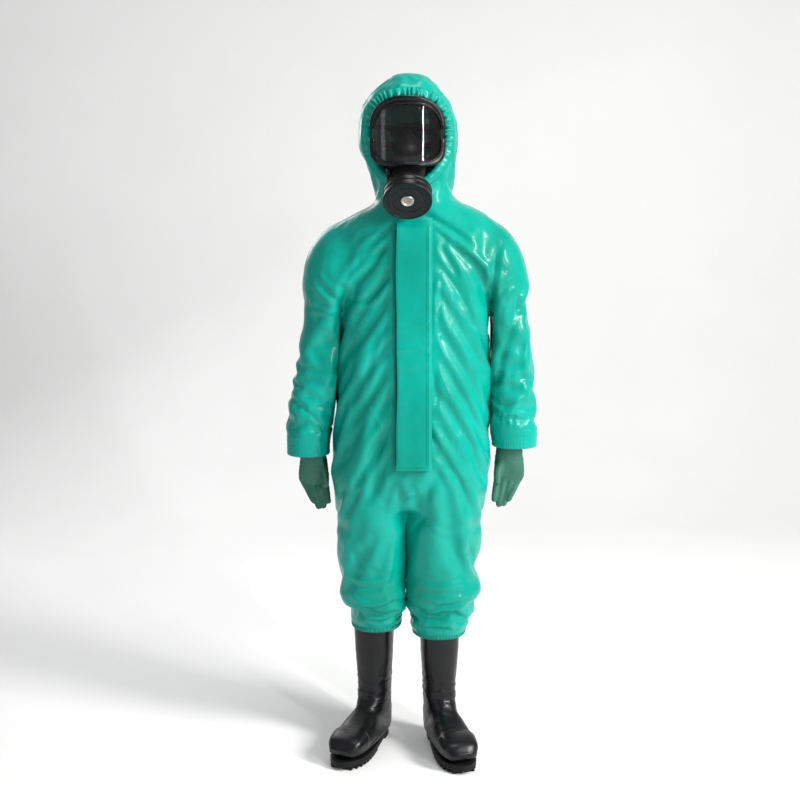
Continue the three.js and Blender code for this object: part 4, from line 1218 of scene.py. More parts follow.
def area_of(o):
    me = o.data
    a = np.empty(len(me.polygons), np.float32)
    me.polygons.foreach_get("area", a)
    return float(a.sum())


SHOULDER = {-1: (1315.0, 150.0, 172.0), 1: (1334.0, 177.0, 199.0)}


def build_coverall():
    o = base_garment(0.008)
    P0 = coords(o.data) * 1000
    body = joined(garment_forms(shrink=16), "body", 0.014)
    Q = simulate(o, body, pins(P0), frames=18, grow=-0.034, bending=14, gravity=0.6) * 1000
    bpy.data.objects.remove(body)
    me = o.data
    E = edges_of(me)
    x, y, z = P0.T
    near_cuff = np.where(np.abs(x) > 215, 1 - sm((z - 900) / 160), 0)
    Q = relax(Q, E, 2, 0.5, 0.35 + 0.65 * near_cuff)
    # cut edges: the face opening follows its outline, the others lie level
    B = boundary_verts(me)
    top = B[P0[B, 2] > 1450]
    cx, cz = OPEN["x"], OPEN["z"]
    for _ in range(2):
        X, Z = Q[top, 0] - cx, Q[top, 2] - cz
        b = np.where(Z >= 0, OPEN["up"], OPEN["down"])
        n = np.where(Z >= 0, OPEN["n"], OPEN["low"])
        q = (np.abs(X / OPEN["a"]) ** n + np.abs(Z / b) ** n) ** (1 / n)
        Q[top, 0], Q[top, 2] = cx + X / q, cz + Z / q
        w = np.where((z > 1440) & (y < 0), 1 - sm((open_dist(x, z) - 8) / 20), 0.0)
        w[B] = 0
        Q = relax(Q, E, 6, 0.5, w)
    for s in (-1, 1):
        legs = B[(P0[B, 2] < 640) & ((P0[B, 0] < SPLIT_X) == (s < 0))]
        Q[legs, 2] = HEM_END[s]
        arms = B[(P0[B, 2] > 640) & (P0[B, 2] < 1000) & (P0[B, 0] * s > 200)]
        Q[arms, 2] = CUFF_END[s]
    sub0 = subdivided(o, P0)
    P0s = coords(sub0.data) * 1000
    bpy.data.objects.remove(sub0)
    sub = subdivided(o, Q)
    bpy.data.objects.remove(o)
    limb = limb_of(P0s)
    P = gather(coords(sub.data) * 1000, limb)
    low = sm((660 - P[:, 2]) / 30)
    for s in (-1, 1):
        m = (limb == 2 * s) & (P[:, 2] < 700)
        lim = SPLIT_X + 0.5 * s
        over = np.maximum(0, (lim - P[:, 0]) * s)
        P[m, 0] += s * (over * low)[m]
        e = arm_edge(P[:, 2], s)
        m = (limb == s) & (P[:, 2] < 1190)
        P[m, 0] = np.where(P[m, 0] * s < (e[m] + 0.5 * s) * s, e[m] + 0.5 * s, P[m, 0])
        m = (limb == 0) & (P[:, 2] < 1180) & (P[:, 2] > 840)
        P[m, 0] = np.where(P[m, 0] * s > (e[m] - 0.5 * s) * s, e[m] - 0.5 * s, P[m, 0])
    set_coords(sub.data, P / 1000)
    # fine wrinkles of the coated cloth, and the laid folds
    N = vnormals(sub.data)
    E = edges_of(sub.data)
    w = pins(P0s)
    free = 1 - 0.75 * np.clip(w, 0, 1)
    r = np.abs(smooth_noise(P * np.array([1, 1, 0.7]), 46, 3.1))
    r2 = np.abs(smooth_noise(P * np.array([0.8, 1, 1.2]), 27, 7.7))
    H = free * (0.5 * np.exp(-((r / 0.05) ** 2)) + 0.3 * np.exp(-((r2 / 0.06) ** 2)))
    H += 0.8 * stroke_field(P, N)
    P = P + N * H[:, None]
    P = relax(P, E, 1, 0.35)

    me = sub.data
    L = np.empty(len(me.loops), np.int32)
    me.loops.foreach_get("vertex_index", L)
    quads = L.reshape(-1, 4)
    C = P[quads].mean(1)
    lf = limb[quads[:, 0]]
    names = ["torso_fabric", "hood_fabric", "right_shoulder_fabric", "left_shoulder_fabric", "right_sleeve_fabric", "left_sleeve_fabric",
             "right_seat_fabric", "left_seat_fabric", "right_leg_fabric", "left_leg_fabric"]
    lab = np.zeros(len(C), int)
    lab[(C[:, 2] > 1432) & (np.abs(C[:, 0]) < 150)] = 1
    lab[(C[:, 2] > 1450)] = 1
    for k, s in enumerate((-1, 1)):
        z0, x0, x1 = SHOULDER[s]
        rr = np.hypot(C[:, 1], C[:, 2] - z0)
        lab[(lf == s) | ((lf == 0) & (C[:, 0] * s > x0 + 2) & (rr < 119) & (C[:, 2] > 1190))] = 2 + k
        lab[(lf == s) & (C[:, 2] <= 1150)] = 4 + k
        mine = (C[:, 0] <= SPLIT_X) if s < 0 else (C[:, 0] > SPLIT_X)
        lab[(np.abs(lf) != 1) & (C[:, 2] < 797) & mine] = 6 + k
        lab[(np.abs(lf) != 1) & (C[:, 2] < 520) & mine] = 8 + k
    pcs = split(sub, P, lab, names)
    edge = boundary_verts(me)
    edge = edge[P[edge, 2] > 1450]
    rim = P[edge]
    bpy.data.objects.remove(sub)

    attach(pcs["torso_fabric"], "torso")
    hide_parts("torso_shell")
    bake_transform(pcs["hood_fabric"])
    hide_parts("hood_shell", "hood_neck")
    for s, side in ((-1, "right"), (1, "left")):
        z0, x0, x1 = SHOULDER[s]
        a = pcs[side + "_shoulder_fabric"]
        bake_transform(a)
        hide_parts(side + "_upper_sleeve")
        a = pcs[side + "_sleeve_fabric"]
        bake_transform(a)
        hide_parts(side + "_elbow_section", side + "_forearm_sleeve")
        a = pcs[side + "_seat_fabric"]
        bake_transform(a)
        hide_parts(side + "_thigh", *(["seat_section"] if s < 0 else []))
        a = pcs[side + "_leg_fabric"]
        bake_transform(a)
        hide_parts(side + "_knee_section", side + "_shin")
    for n, p in pcs.items():
        A = area_of(p)
        girth = {"torso": 1.02, "hood": 0.74, "right_shoulder": 0.5, "left_shoulder": 0.5, "right_sleeve": 0.36, "left_sleeve": 0.36,
                 "right_seat": 0.64, "left_seat": 0.64, "right_leg": 0.52, "left_leg": 0.52}[n.replace("_fabric", "")]
        print("piece", n, len(p.data.polygons), "area", round(A, 3), "length", round(A / girth, 3))
    return pcs, rim


def build_face_ruffle(rim):
    """The gathered casing round the face opening, built in place of the elastic part."""
    cx, cz = OPEN["x"], OPEN["z"]
    n = 720
    t = even_angles(OPEN, n + 1)[:-1]
    X, Z = outline(OPEN, t)
    ang = np.arctan2(rim[:, 2] - cz, rim[:, 0] - cx)
    order = np.argsort(ang)
    ta = np.arctan2(Z - cz, X - cx)
    Y = np.interp(ta, ang[order], rim[order, 1], period=2 * np.pi)
    k = np.exp(-np.linspace(-2, 2, 31) ** 2)
    Y = np.convolve(np.concatenate([Y[-15:], Y, Y[:15]]), k / k.sum(), "valid")
    s = np.arange(n)
    arc = 2 * np.pi * s / n
    rng = np.random.default_rng(5)

    def wave(waves, jitter):
        ph = np.cumsum(1 + jitter * np.interp(arc, np.linspace(0, 2 * np.pi, 41), rng.uniform(-1, 1, 41)))
        ph = ph / ph[-1] * waves * 2 * np.pi
        return np.sin(ph)

    w1, w2, w3 = wave(44, 0.75), wave(71, 0.7), wave(27, 0.8)
    amp = np.interp(arc, np.linspace(0, 2 * np.pi, 25), np.append(rng.uniform(0.5, 1.2, 24), 0.8))
    prof = [(-17, -2.6, 0.1), (-14, -0.6, 0.8), (-10, 1.8, 1.2), (-6, 3.8, 1.2), (-2, 4.9, 1.1), (1.5, 4.8, 1.2), (4.5, 3.6, 1.4), (6.8, 1.4, 1.6),
            (7.6, -1.4, 1.5), (6.6, -3.8, 1.2), (3.6, -5.2, 0.8), (-1.0, -5.2, 0.4)]
    V = []
    d = np.stack([np.gradient(X), np.gradient(Z)], 1)
    d /= np.linalg.norm(d, axis=1)[:, None]
    nx, nz = -d[:, 1], d[:, 0]  # towards the middle
    inward = np.sign((cx - X) * nx + (cz - Z) * nz)
    nx, nz = nx * inward, nz * inward
    chin = sm((1600 - Z) / 40)  # flatter under the chin, where the mask's boss passes
    for i in range(n):
        g = amp[i] * (1 + 0.9 * sm((Z[i] - 1640) / 60)) * (1 - 0.8 * chin[i])
        for u, f, a in prof:
            du = 1.1 * a * g * w2[i] + 1.3 * a * g * w3[i]
            df = 1.7 * a * g * w1[i] + 0.6 * a * g * w2[i]
            V.append((X[i] + nx[i] * (u + du), Y[i] - f - df, Z[i] + nz[i] * (u + du)))
    o = new_obj("hood_face_casing", np.array(V) / 1000, grid_faces(n, len(prof), True, True), SUIT)
    fix_normals(o)
    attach(o, "hood")
    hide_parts("hood_face_elastic")
    return o


def band(name, node, mat, body, rows, gather_amp, waves, seed, n=2.3, extra=0.0, lift=0.0, shift=0.0):
    """An elasticated band: rows are (share of the height from the top, outward swell in mm)."""
    lo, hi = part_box(node)
    cx, cy = (lo.x + hi.x) * 500, (lo.y + hi.y) * 500
    a, b = (hi.x - lo.x) * 500 - 1.2 + extra, (hi.y - lo.y) * 500 - 1.2 + extra
    z1, z0 = hi.z * 1000 + shift, lo.z * 1000 + lift + shift
    N = 288
    t = np.arange(N) / N * 2 * np.pi
    rng = np.random.default_rng(seed)
    ph = np.cumsum(1 + 0.6 * np.interp(t, np.linspace(0, 2 * np.pi, 37), rng.uniform(-1, 1, 37)))
    w = np.sin(ph / ph[-1] * waves * 2 * np.pi)
    w2 = np.sin(ph / ph[-1] * waves * 2 * 2 * np.pi * 0.58 + 1.3)
    C, S = np.cos(t), np.sin(t)
    ex, ey = np.sign(C) * np.abs(C) ** (2 / n), np.sign(S) * np.abs(S) ** (2 / n)
    rings = []
    for f, swell, g in rows:
        gr = swell + g * gather_amp * (w + 0.6 * w2 * np.cos(f * 9 + 2 * t))
        zz = z1 + (z0 - z1) * f + g * 0.5 * gather_amp * w2
        rings.append(np.stack([cx + ex * (a + gr), cy + ey * (b + gr), np.broadcast_to(zz, (N,))], 1))
    V = np.concatenate(rings) / 1000
    o = new_obj(name, V, grid_faces(len(rings), N, True, True), mat)
    fix_normals(o)
    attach(o, body)
    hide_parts(node)
    return o


def build_bands():
    for s, side in ((-1, "right"), (1, "left")):
        rows = [(1.0, -4.5, 0), (0.02, -3.4, 0), (0.0, -1.5, 0.5)]
        k = 30
        for i in range(k + 1):
            f = 0.02 + 0.96 * i / k
            ribs = 5
            u = (f * ribs) % 1.0
            rows.append((f, -0.5 + 0.55 * math.sin(u * math.pi) ** 0.6, 0.35 + 0.65 * math.sin(u * math.pi)))
        rows.append((1.0, -1.6, 0.3))
        o = band(side + "_cuff_band", side + "_cuff", SUIT, side + "_forearm", rows, 0.4, 46, 11 + s, lift=9.0)
        rows = [(1.0, -3.0, 0), (0.0, -3.0, 0), (0.0, -1.2, 0.4), (0.15, 0.2, 1), (0.4, 1.0, 1), (0.6, 1.0, 1), (0.85, 0.2, 1), (1.0, -1.4, 0.4)]
        o = band(side + "_hem_band", side + "_hem_elastic", TRIM, side + "_lower_leg", rows, 1.0, 52, 21 + s, shift=16.0)


# ------------------------------------------------------------------ storm flap and zip
def front_y(z):
    return -140 + (z - 930) * 0.0339


def build_flap():
    zs = np.linspace(802, 1426, 164)
    xs = [-33, -31.5, -28, -22, -15, -8, 0, 8, 16, 24, 31, 37, 41, 44, 47, 49.5, 51.5, 53.2, 54.6, 55.4]
    off = {47: -10.9, 49.5: -10.2, 51.5: -8.6, 53.2: -6.4, 54.6: -3.8, 55.4: -1.0}
    V = []
    pts = np.array([[x, 0, z] for z in zs for x in xs], float)
    n1 = smooth_noise(pts, 74, 2.2).reshape(len(zs), -1)
    n2 = smooth_noise(pts * np.array([0.6, 1, 1.3]), 38, 5.5).reshape(len(zs), -1)
    for i, z in enumerate(zs):
        edge = 2.2 * math.sin(z / 31.0 + 0.6) * sm((z - 820) / 60) * 0.4 + 1.6 * math.sin(z / 74.0)
        for j, x in enumerate(xs):
            base = off.get(x, -11.2)
            lift = (1.5 * n1[i, j] + 1.0 * n2[i, j]) * float(sm((50 - x) / 22))
            fold = -1.3 * math.exp(-(((z - (1063 + 0.1 * x)) / 5.0) ** 2)) - 1.8 * math.exp(-(((z - (1108 - 0.004 * (x - 10) ** 2)) / 6.0) ** 2))
            fold += -1.2 * math.exp(-(((z - (1160 + 0.25 * x)) / 4.0) ** 2))
            tail = 0.4 * float(sm((840 - z) / 38)) + 0.62 * max(0.0, z - 1402)
            free = float(sm((0 - x) / 33))
            xx = x + edge * free * 0.8
            yy = front_y(z) + base - abs(lift) * 0.9 + fold * float(sm((50 - x) / 12)) + tail - 1.6 * free * (0.5 + 0.5 * math.sin(z / 46.0 + 1.0))
            V.append((xx, yy, z))
    o = new_obj("storm_flap_cloth", np.array(V) / 1000, grid_faces(len(zs), len(xs)), SUIT)
    # faces look forward
    bm = bmesh.new()
    bm.from_mesh(o.data)
    bm.faces.ensure_lookup_table()
    bm.normal_update()
    if sum(f.normal.y for f in bm.faces) > 0:
        bmesh.ops.reverse_faces(bm, faces=bm.faces)
    bm.to_mesh(o.data)
    bm.free()
    m = o.modifiers.new("t", "SOLIDIFY")
    m.thickness = 0.0019
    m.offset = -1
    bpy.context.view_layer.objects.active = o
    bpy.ops.object.modifier_apply(modifier="t")
    rounded(o, 0.0006, 2, 50)
    o.data.polygons.foreach_set("use_smooth", [True] * len(o.data.polygons))
    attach(o, "storm_flap")
    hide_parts("storm_flap")

    P = np.array(V).reshape(len(zs), len(xs), 3)

    def line(x):
        j = int(np.argmin(np.abs(np.array(xs) - x)))
        k = j + 1 if xs[j] < x else j - 1
        k = min(max(k, 0), len(xs) - 1)
        f = 0 if k == j else (x - xs[j]) / (xs[k] - xs[j])
        q = P[3:-3, j] * (1 - f) + P[3:-3, k] * f
        return q + np.array([0, -0.25, 0]), np.tile([0, -1, 0], (len(q), 1))

    rows = [line(46.0), line(41.5), line(-28.5)]
    for z in (808, 1420):
        i = int(np.argmin(np.abs(zs - z)))
        q = P[i, 1:14]
        rows.append((q + np.array([0, -0.25, 0]), np.tile([0, -1, 0], (len(q), 1))))
    st = stitches("flap_stitching", rows, THREAD, 3.4, 1.4, 0.5)
    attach(st, "storm_flap")
    return o


def build_zip():
    zz = lambda z: front_y(z)
    objs = []
    for name, x0, x1 in (("zip_tape_right", -37, -23.6), ("zip_tape_left", -20.4, -7)):
        V = []
        zs = np.linspace(772, 1402, 120)
        prof = [(x0, -0.5), (x0 + 1, -1.25), (x0 + (x1 - x0) * 0.3, -1.3), (x0 + (x1 - x0) * 0.7, -1.3), (x1 - 1, -1.25), (x1, -0.5)]
        lo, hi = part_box(name)
        zs = np.linspace(lo.z * 1000, hi.z * 1000, 120)
        for z in zs:
            for x, y in prof:
                V.append((x, zz(z) + y + 0.12 * math.sin(z / 1.9 + x), z))
        n = len(prof)
        F = grid_faces(len(zs), n, False, True) + [tuple(range(n)), tuple(range((len(zs) - 1) * n, len(zs) * n))[::-1]]
        o = fix_normals(new_obj(name.replace("zip", "zipper") + "_cloth", np.array(V) / 1000, F, TAPE))
        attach(o, "torso")
        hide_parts(name)
    V, F = [], []
    z, k = 817.0, 0
    while z < 1393:
        s = 1 if k % 2 else -1
        y0, y1 = zz(z) - 4.0, zz(z) - 1.7
        xa, xb = -22 - 0.5 * s, -22 + 2.9 * s
        pts = []
        for x, dz in ((xa, 0.85), (-22 + 0.9 * s, 0.95), (-22 + 1.3 * s, 0.55), (xb, 0.75)):
            for y in (y0 + 0.2, y1):
                for e in (-1, 1):
                    pts.append((x, y, z + e * dz))
        b = len(V)
        V += pts
        for q in range(3):
            a0, a1 = b + 4 * q, b + 4 * q + 4
            F += [(a0, a0 + 1, a1 + 1, a1), (a0 + 2, a1 + 2, a1 + 3, a0 + 3), (a0, a1, a1 + 2, a0 + 2), (a0 + 1, a0 + 3, a1 + 3, a1 + 1)]
        F += [(b, b + 2, b + 3, b + 1), (b + 12, b + 13, b + 15, b + 14)]
        z += 1.55
        k += 1
    o = fix_normals(new_obj("zip_teeth", np.array(V) / 1000, F, BRASS, smooth=False))
    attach(o, "torso")
    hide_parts("zip_chain")
    # slider body and pull
    z0, z1 = 1378.0, 1394.0
    prof = [(0, z1), (3.2, z1 - 0.4), (5.4, z1 - 3), (5.2, z1 - 7), (3.4, z0 + 3.5), (3.0, z0), (-3.0, z0), (-3.4, z0 + 3.5), (-5.2, z1 - 7), (-5.4, z1 - 3), (-3.2, z1 - 0.4)]
    V = []
    for y in (-4.5, -6.5):
        for x, z in prof:
            V.append((-22 + x, zz(z) + y, z))
    n = len(prof)
    F = grid_faces(2, n, False, True) + [tuple(range(n)), tuple(range(n, 2 * n))[::-1]]
    o = fix_normals(new_obj("slider_body", np.array(V) / 1000, F, BRASS))
    rounded(o, 0.0005, 2, 30)
    sharpen(o, 60)
    loop = box_obj("loop", (-24, zz(1388) - 7.4, 1385), (-20, zz(1388) - 6.4, 1391), BRASS, 0.4)
    bpy.ops.object.select_all(action="DESELECT")
    o.select_set(True)
    loop.select_set(True)
    bpy.context.view_layer.objects.active = o
    bpy.ops.object.join()
    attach(o, "zip")
    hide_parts("zip_slider")
    lo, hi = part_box("zip_pull")
    ya = (lo.y + hi.y) * 500
    prof = [(2.6, 1389.5), (3.4, 1384), (2.6, 1378), (3.6, 1370), (4.2, 1362), (3.6, 1357.5), (0, 1356.4)]
    prof = prof + [(-a, b) for a, b in prof[::-1][1:]]
    V = []
    for y in (-0.6, 0.6):
        for x, z in prof:
            V.append((-22 + x * 0.8, zz(z) - 7.6 + y, z))
    n = len(prof)
    F = grid_faces(2, n, False, True) + [tuple(range(n)), tuple(range(n, 2 * n))[::-1]]
    o = fix_normals(new_obj("slider_pull", np.array(V) / 1000, F, BRASS))
    rounded(o, 0.0003, 2, 30)
    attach(o, "zip")
    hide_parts("zip_pull")
    # hook and loop strips: a low pile on a woven strip
    for node, name, face in (("hook_strip", "hook_tape", -1), ("loop_strip", "loop_tape", 1)):
        lo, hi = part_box(node)
        zs = np.linspace(lo.z * 1000, hi.z * 1000, 260)
        xs = np.linspace(lo.x * 1000, hi.x * 1000, 13)
        y = -1.8 if node == "hook_strip" else -8.3
        V = []
        for s in (-1, 1):
            for z in zs:
                for x in xs:
                    rough = 0.28 * math.sin(x * 3.1 + 2 * math.sin(z * 1.3)) * math.sin(z * 2.7) if s == face else 0
                    edge = 0 if xs[0] < x < xs[-1] else 0.45
                    V.append((x, zz(z) + y + s * (0.9 - edge) + rough, z))
        nz, nx = len(zs), len(xs)
        F = grid_faces(nz, nx) + [q[::-1] for q in grid_faces(nz, nx, base=nz * nx)]
        b = nz * nx
        for i in range(nz - 1):
            F += [(i * nx, b + i * nx, b + (i + 1) * nx, (i + 1) * nx), (i * nx + nx - 1, (i + 1) * nx + nx - 1, b + (i + 1) * nx + nx - 1, b + i * nx + nx - 1)]
        for j in range(nx - 1):
            F += [(j, j + 1, b + j + 1, b + j), ((nz - 1) * nx + j, b + (nz - 1) * nx + j, b + (nz - 1) * nx + j + 1, (nz - 1) * nx + j + 1)]
        o = fix_normals(new_obj(name, np.array(V) / 1000, F, FUZZ))
        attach(o, "torso" if node == "hook_strip" else "storm_flap")
        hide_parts(node)


# ------------------------------------------------------------------ gloves
def rod_rings(pts, radii, N=24, flat=1.0):
    """A round-ended finger through points."""
    P = [np.array(p, float) for p in pts]
    k = np.linspace(0, len(P) - 1, 22)
    q = np.array([np.interp(k, np.arange(len(P)), [p[i] for p in P]) for i in range(3)]).T
    q = np.vstack([q[:1], (q[:-2] + 2 * q[1:-1] + q[2:]) / 4, q[-1:]])
    r = np.interp(k, np.arange(len(P)), radii)
    rings = []
    for i in range(len(q)):
        d = q[min(i + 1, len(q) - 1)] - q[max(i - 1, 0)]
        d /= np.linalg.norm(d)
        u = EX - d * d[0]
        u /= np.linalg.norm(u)
        v = np.cross(d, u)
        rings.append(ring(q[i], u, v, r[i], r[i] * flat, 2, N))
    # rounded tip
    d = q[-1] - q[-2]
    d /= np.linalg.norm(d)
    u = EX - d * d[0]
    u /= np.linalg.norm(u)
    v = np.cross(d, u)
    for f in (0.35, 0.65, 0.86, 0.97):
        rings.append(ring(q[-1] + d * r[-1] * f, u, v, r[-1] * math.sqrt(1 - f * f), r[-1] * flat * math.sqrt(1 - f * f), 2, N))
    return rings


def build_glove(side, cx, top, wrist, k, s):
    rows = [(top, -37, 37, -40, 32), (wrist + 34, -36, 36, -36, 28), (wrist, -35, 35, -30, 22), (wrist - 28, -39, 39, -26, 16),
            (k + 12, -41, 41, -25, 13), (k, -40, 40, -23, 11), (k - 8, -36, 36, -20, 7)]
    rows = [(z, cx + a + 1.5, cx + b - 1.5, c + 1.5, d - 1.5, 2.5) for z, a, b, c, d in rows]
    parts = [tube_mesh(level_rings(rows, step=5, N=48))]
    for x, r, dz, y in ((-30, 9.2, -54 if s > 0 else -56, -26), (-10.5, 9.8, -70, -24), (9.5, 9.6, -68, -24), (29, 8.8, -56, -26)):
        a = np.array([cx + x, -7, k + 2.0])
        b = np.array([cx + x * 0.66 + 20 * s, y + 1.0, k + dz + 1.0])
        m1 = a + (b - a) * 0.33 + np.array([0, 1.6, 0])
        m2 = a + (b - a) * 0.68 + np.array([0, 1.4, 0])
        parts.append(tube_mesh(rod_rings([a + (0, 0, 14), a, m1, m2, b], [r - 1, r - 0.6, r - 0.4, r - 0.9, r - 1.7])))
    a, b = np.array([cx + 26 * s, -16.0, k + 34]), np.array([cx + 33 * s, -42.0, k - 6])
    parts.append(tube_mesh(rod_rings([a + (-9 * s, 4, 16), a, (a + b) / 2 + (2 * s, 2, 0), b], [12, 11.6, 10.8, 9.2])))
    o = joined(parts, side + "_glove_rubber", 0.0024)
    me = o.data
    E = edges_of(me)
    P = relax(coords(me) * 1000, E, 5)
    set_coords(me, P / 1000)
    N = vnormals(me)
    # slack creases over the knuckles, thumb web and wrist
    c1 = np.exp(-((smooth_noise(P * np.array([0.55, 0.8, 1.9]), 21, 4.0 + s) / 0.10) ** 2))
    c2 = smooth_noise(P, 13, 9.0)
    wr = np.exp(-(((P[:, 2] - (wrist - 8)) / 26) ** 2))
    joint = sm((k + 10 - P[:, 2]) / 14)
    rings = np.sin(P[:, 2] / 2.5 + 1.3 * np.sin(P[:, 0] / 7)) * np.exp(-((((P[:, 2] - (k - 20)) % 200) / 6) ** 2))
    H = 0.9 * c1 * (0.35 + wr + 0.3 * joint) + 0.35 * c2 + 0.35 * rings * joint
    set_coords(me, (P + N * H[:, None]) / 1000)
    delete_faces(o, lambda c: c.z * 1000 > top - 4)
    m = o.modifiers.new("t", "SOLIDIFY")
    m.thickness = 0.0012
    m.offset = -1
    bpy.context.view_layer.objects.active = o
    bpy.ops.object.modifier_apply(modifier="t")
    o.data.materials.clear()
    o.data.materials.append(GLOVE)
    o.data.polygons.foreach_set("use_smooth", [True] * len(o.data.polygons))
    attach(o, side + "_hand")
    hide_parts(side + "_glove")


# ------------------------------------------------------------------ boots
BOOT_ROWS = [
    (-60, 384, 56, 384, 55, 2.2), (-56, 318, 54, 318, 52, 2.25), (-52, 250, 52, 250, 49, 2.3), (-49, 190, 52, 186, 44, 2.3), (-50, 150, 52, 136, 42, 2.4),
    (-58, 128, 54, 80, 40, 2.6), (-72, 114, 50, 30, 39, 3.0), (-98, 98, 8, 27, 44, 3.8), (-132, 86, -60, 27, 48, 3.8),
    (-165, 82, -118, 27, 50, 3.6), (-192, 73, -166, 27, 46, 3.2), (-208, 56, -196, 29, 34, 2.6),
]
SOLE_ROW = [(54, 0, 0), (50, 16, 16), (38, 26, 26), (12, 31, 31), (-22, 35, 31), (-60, 43, 36), (-110, 51, 46), (-150, 52, 49), (-180, 47, 45),
            (-205, 32, 31), (-218, 14, 14), (-222, 0, 0)]


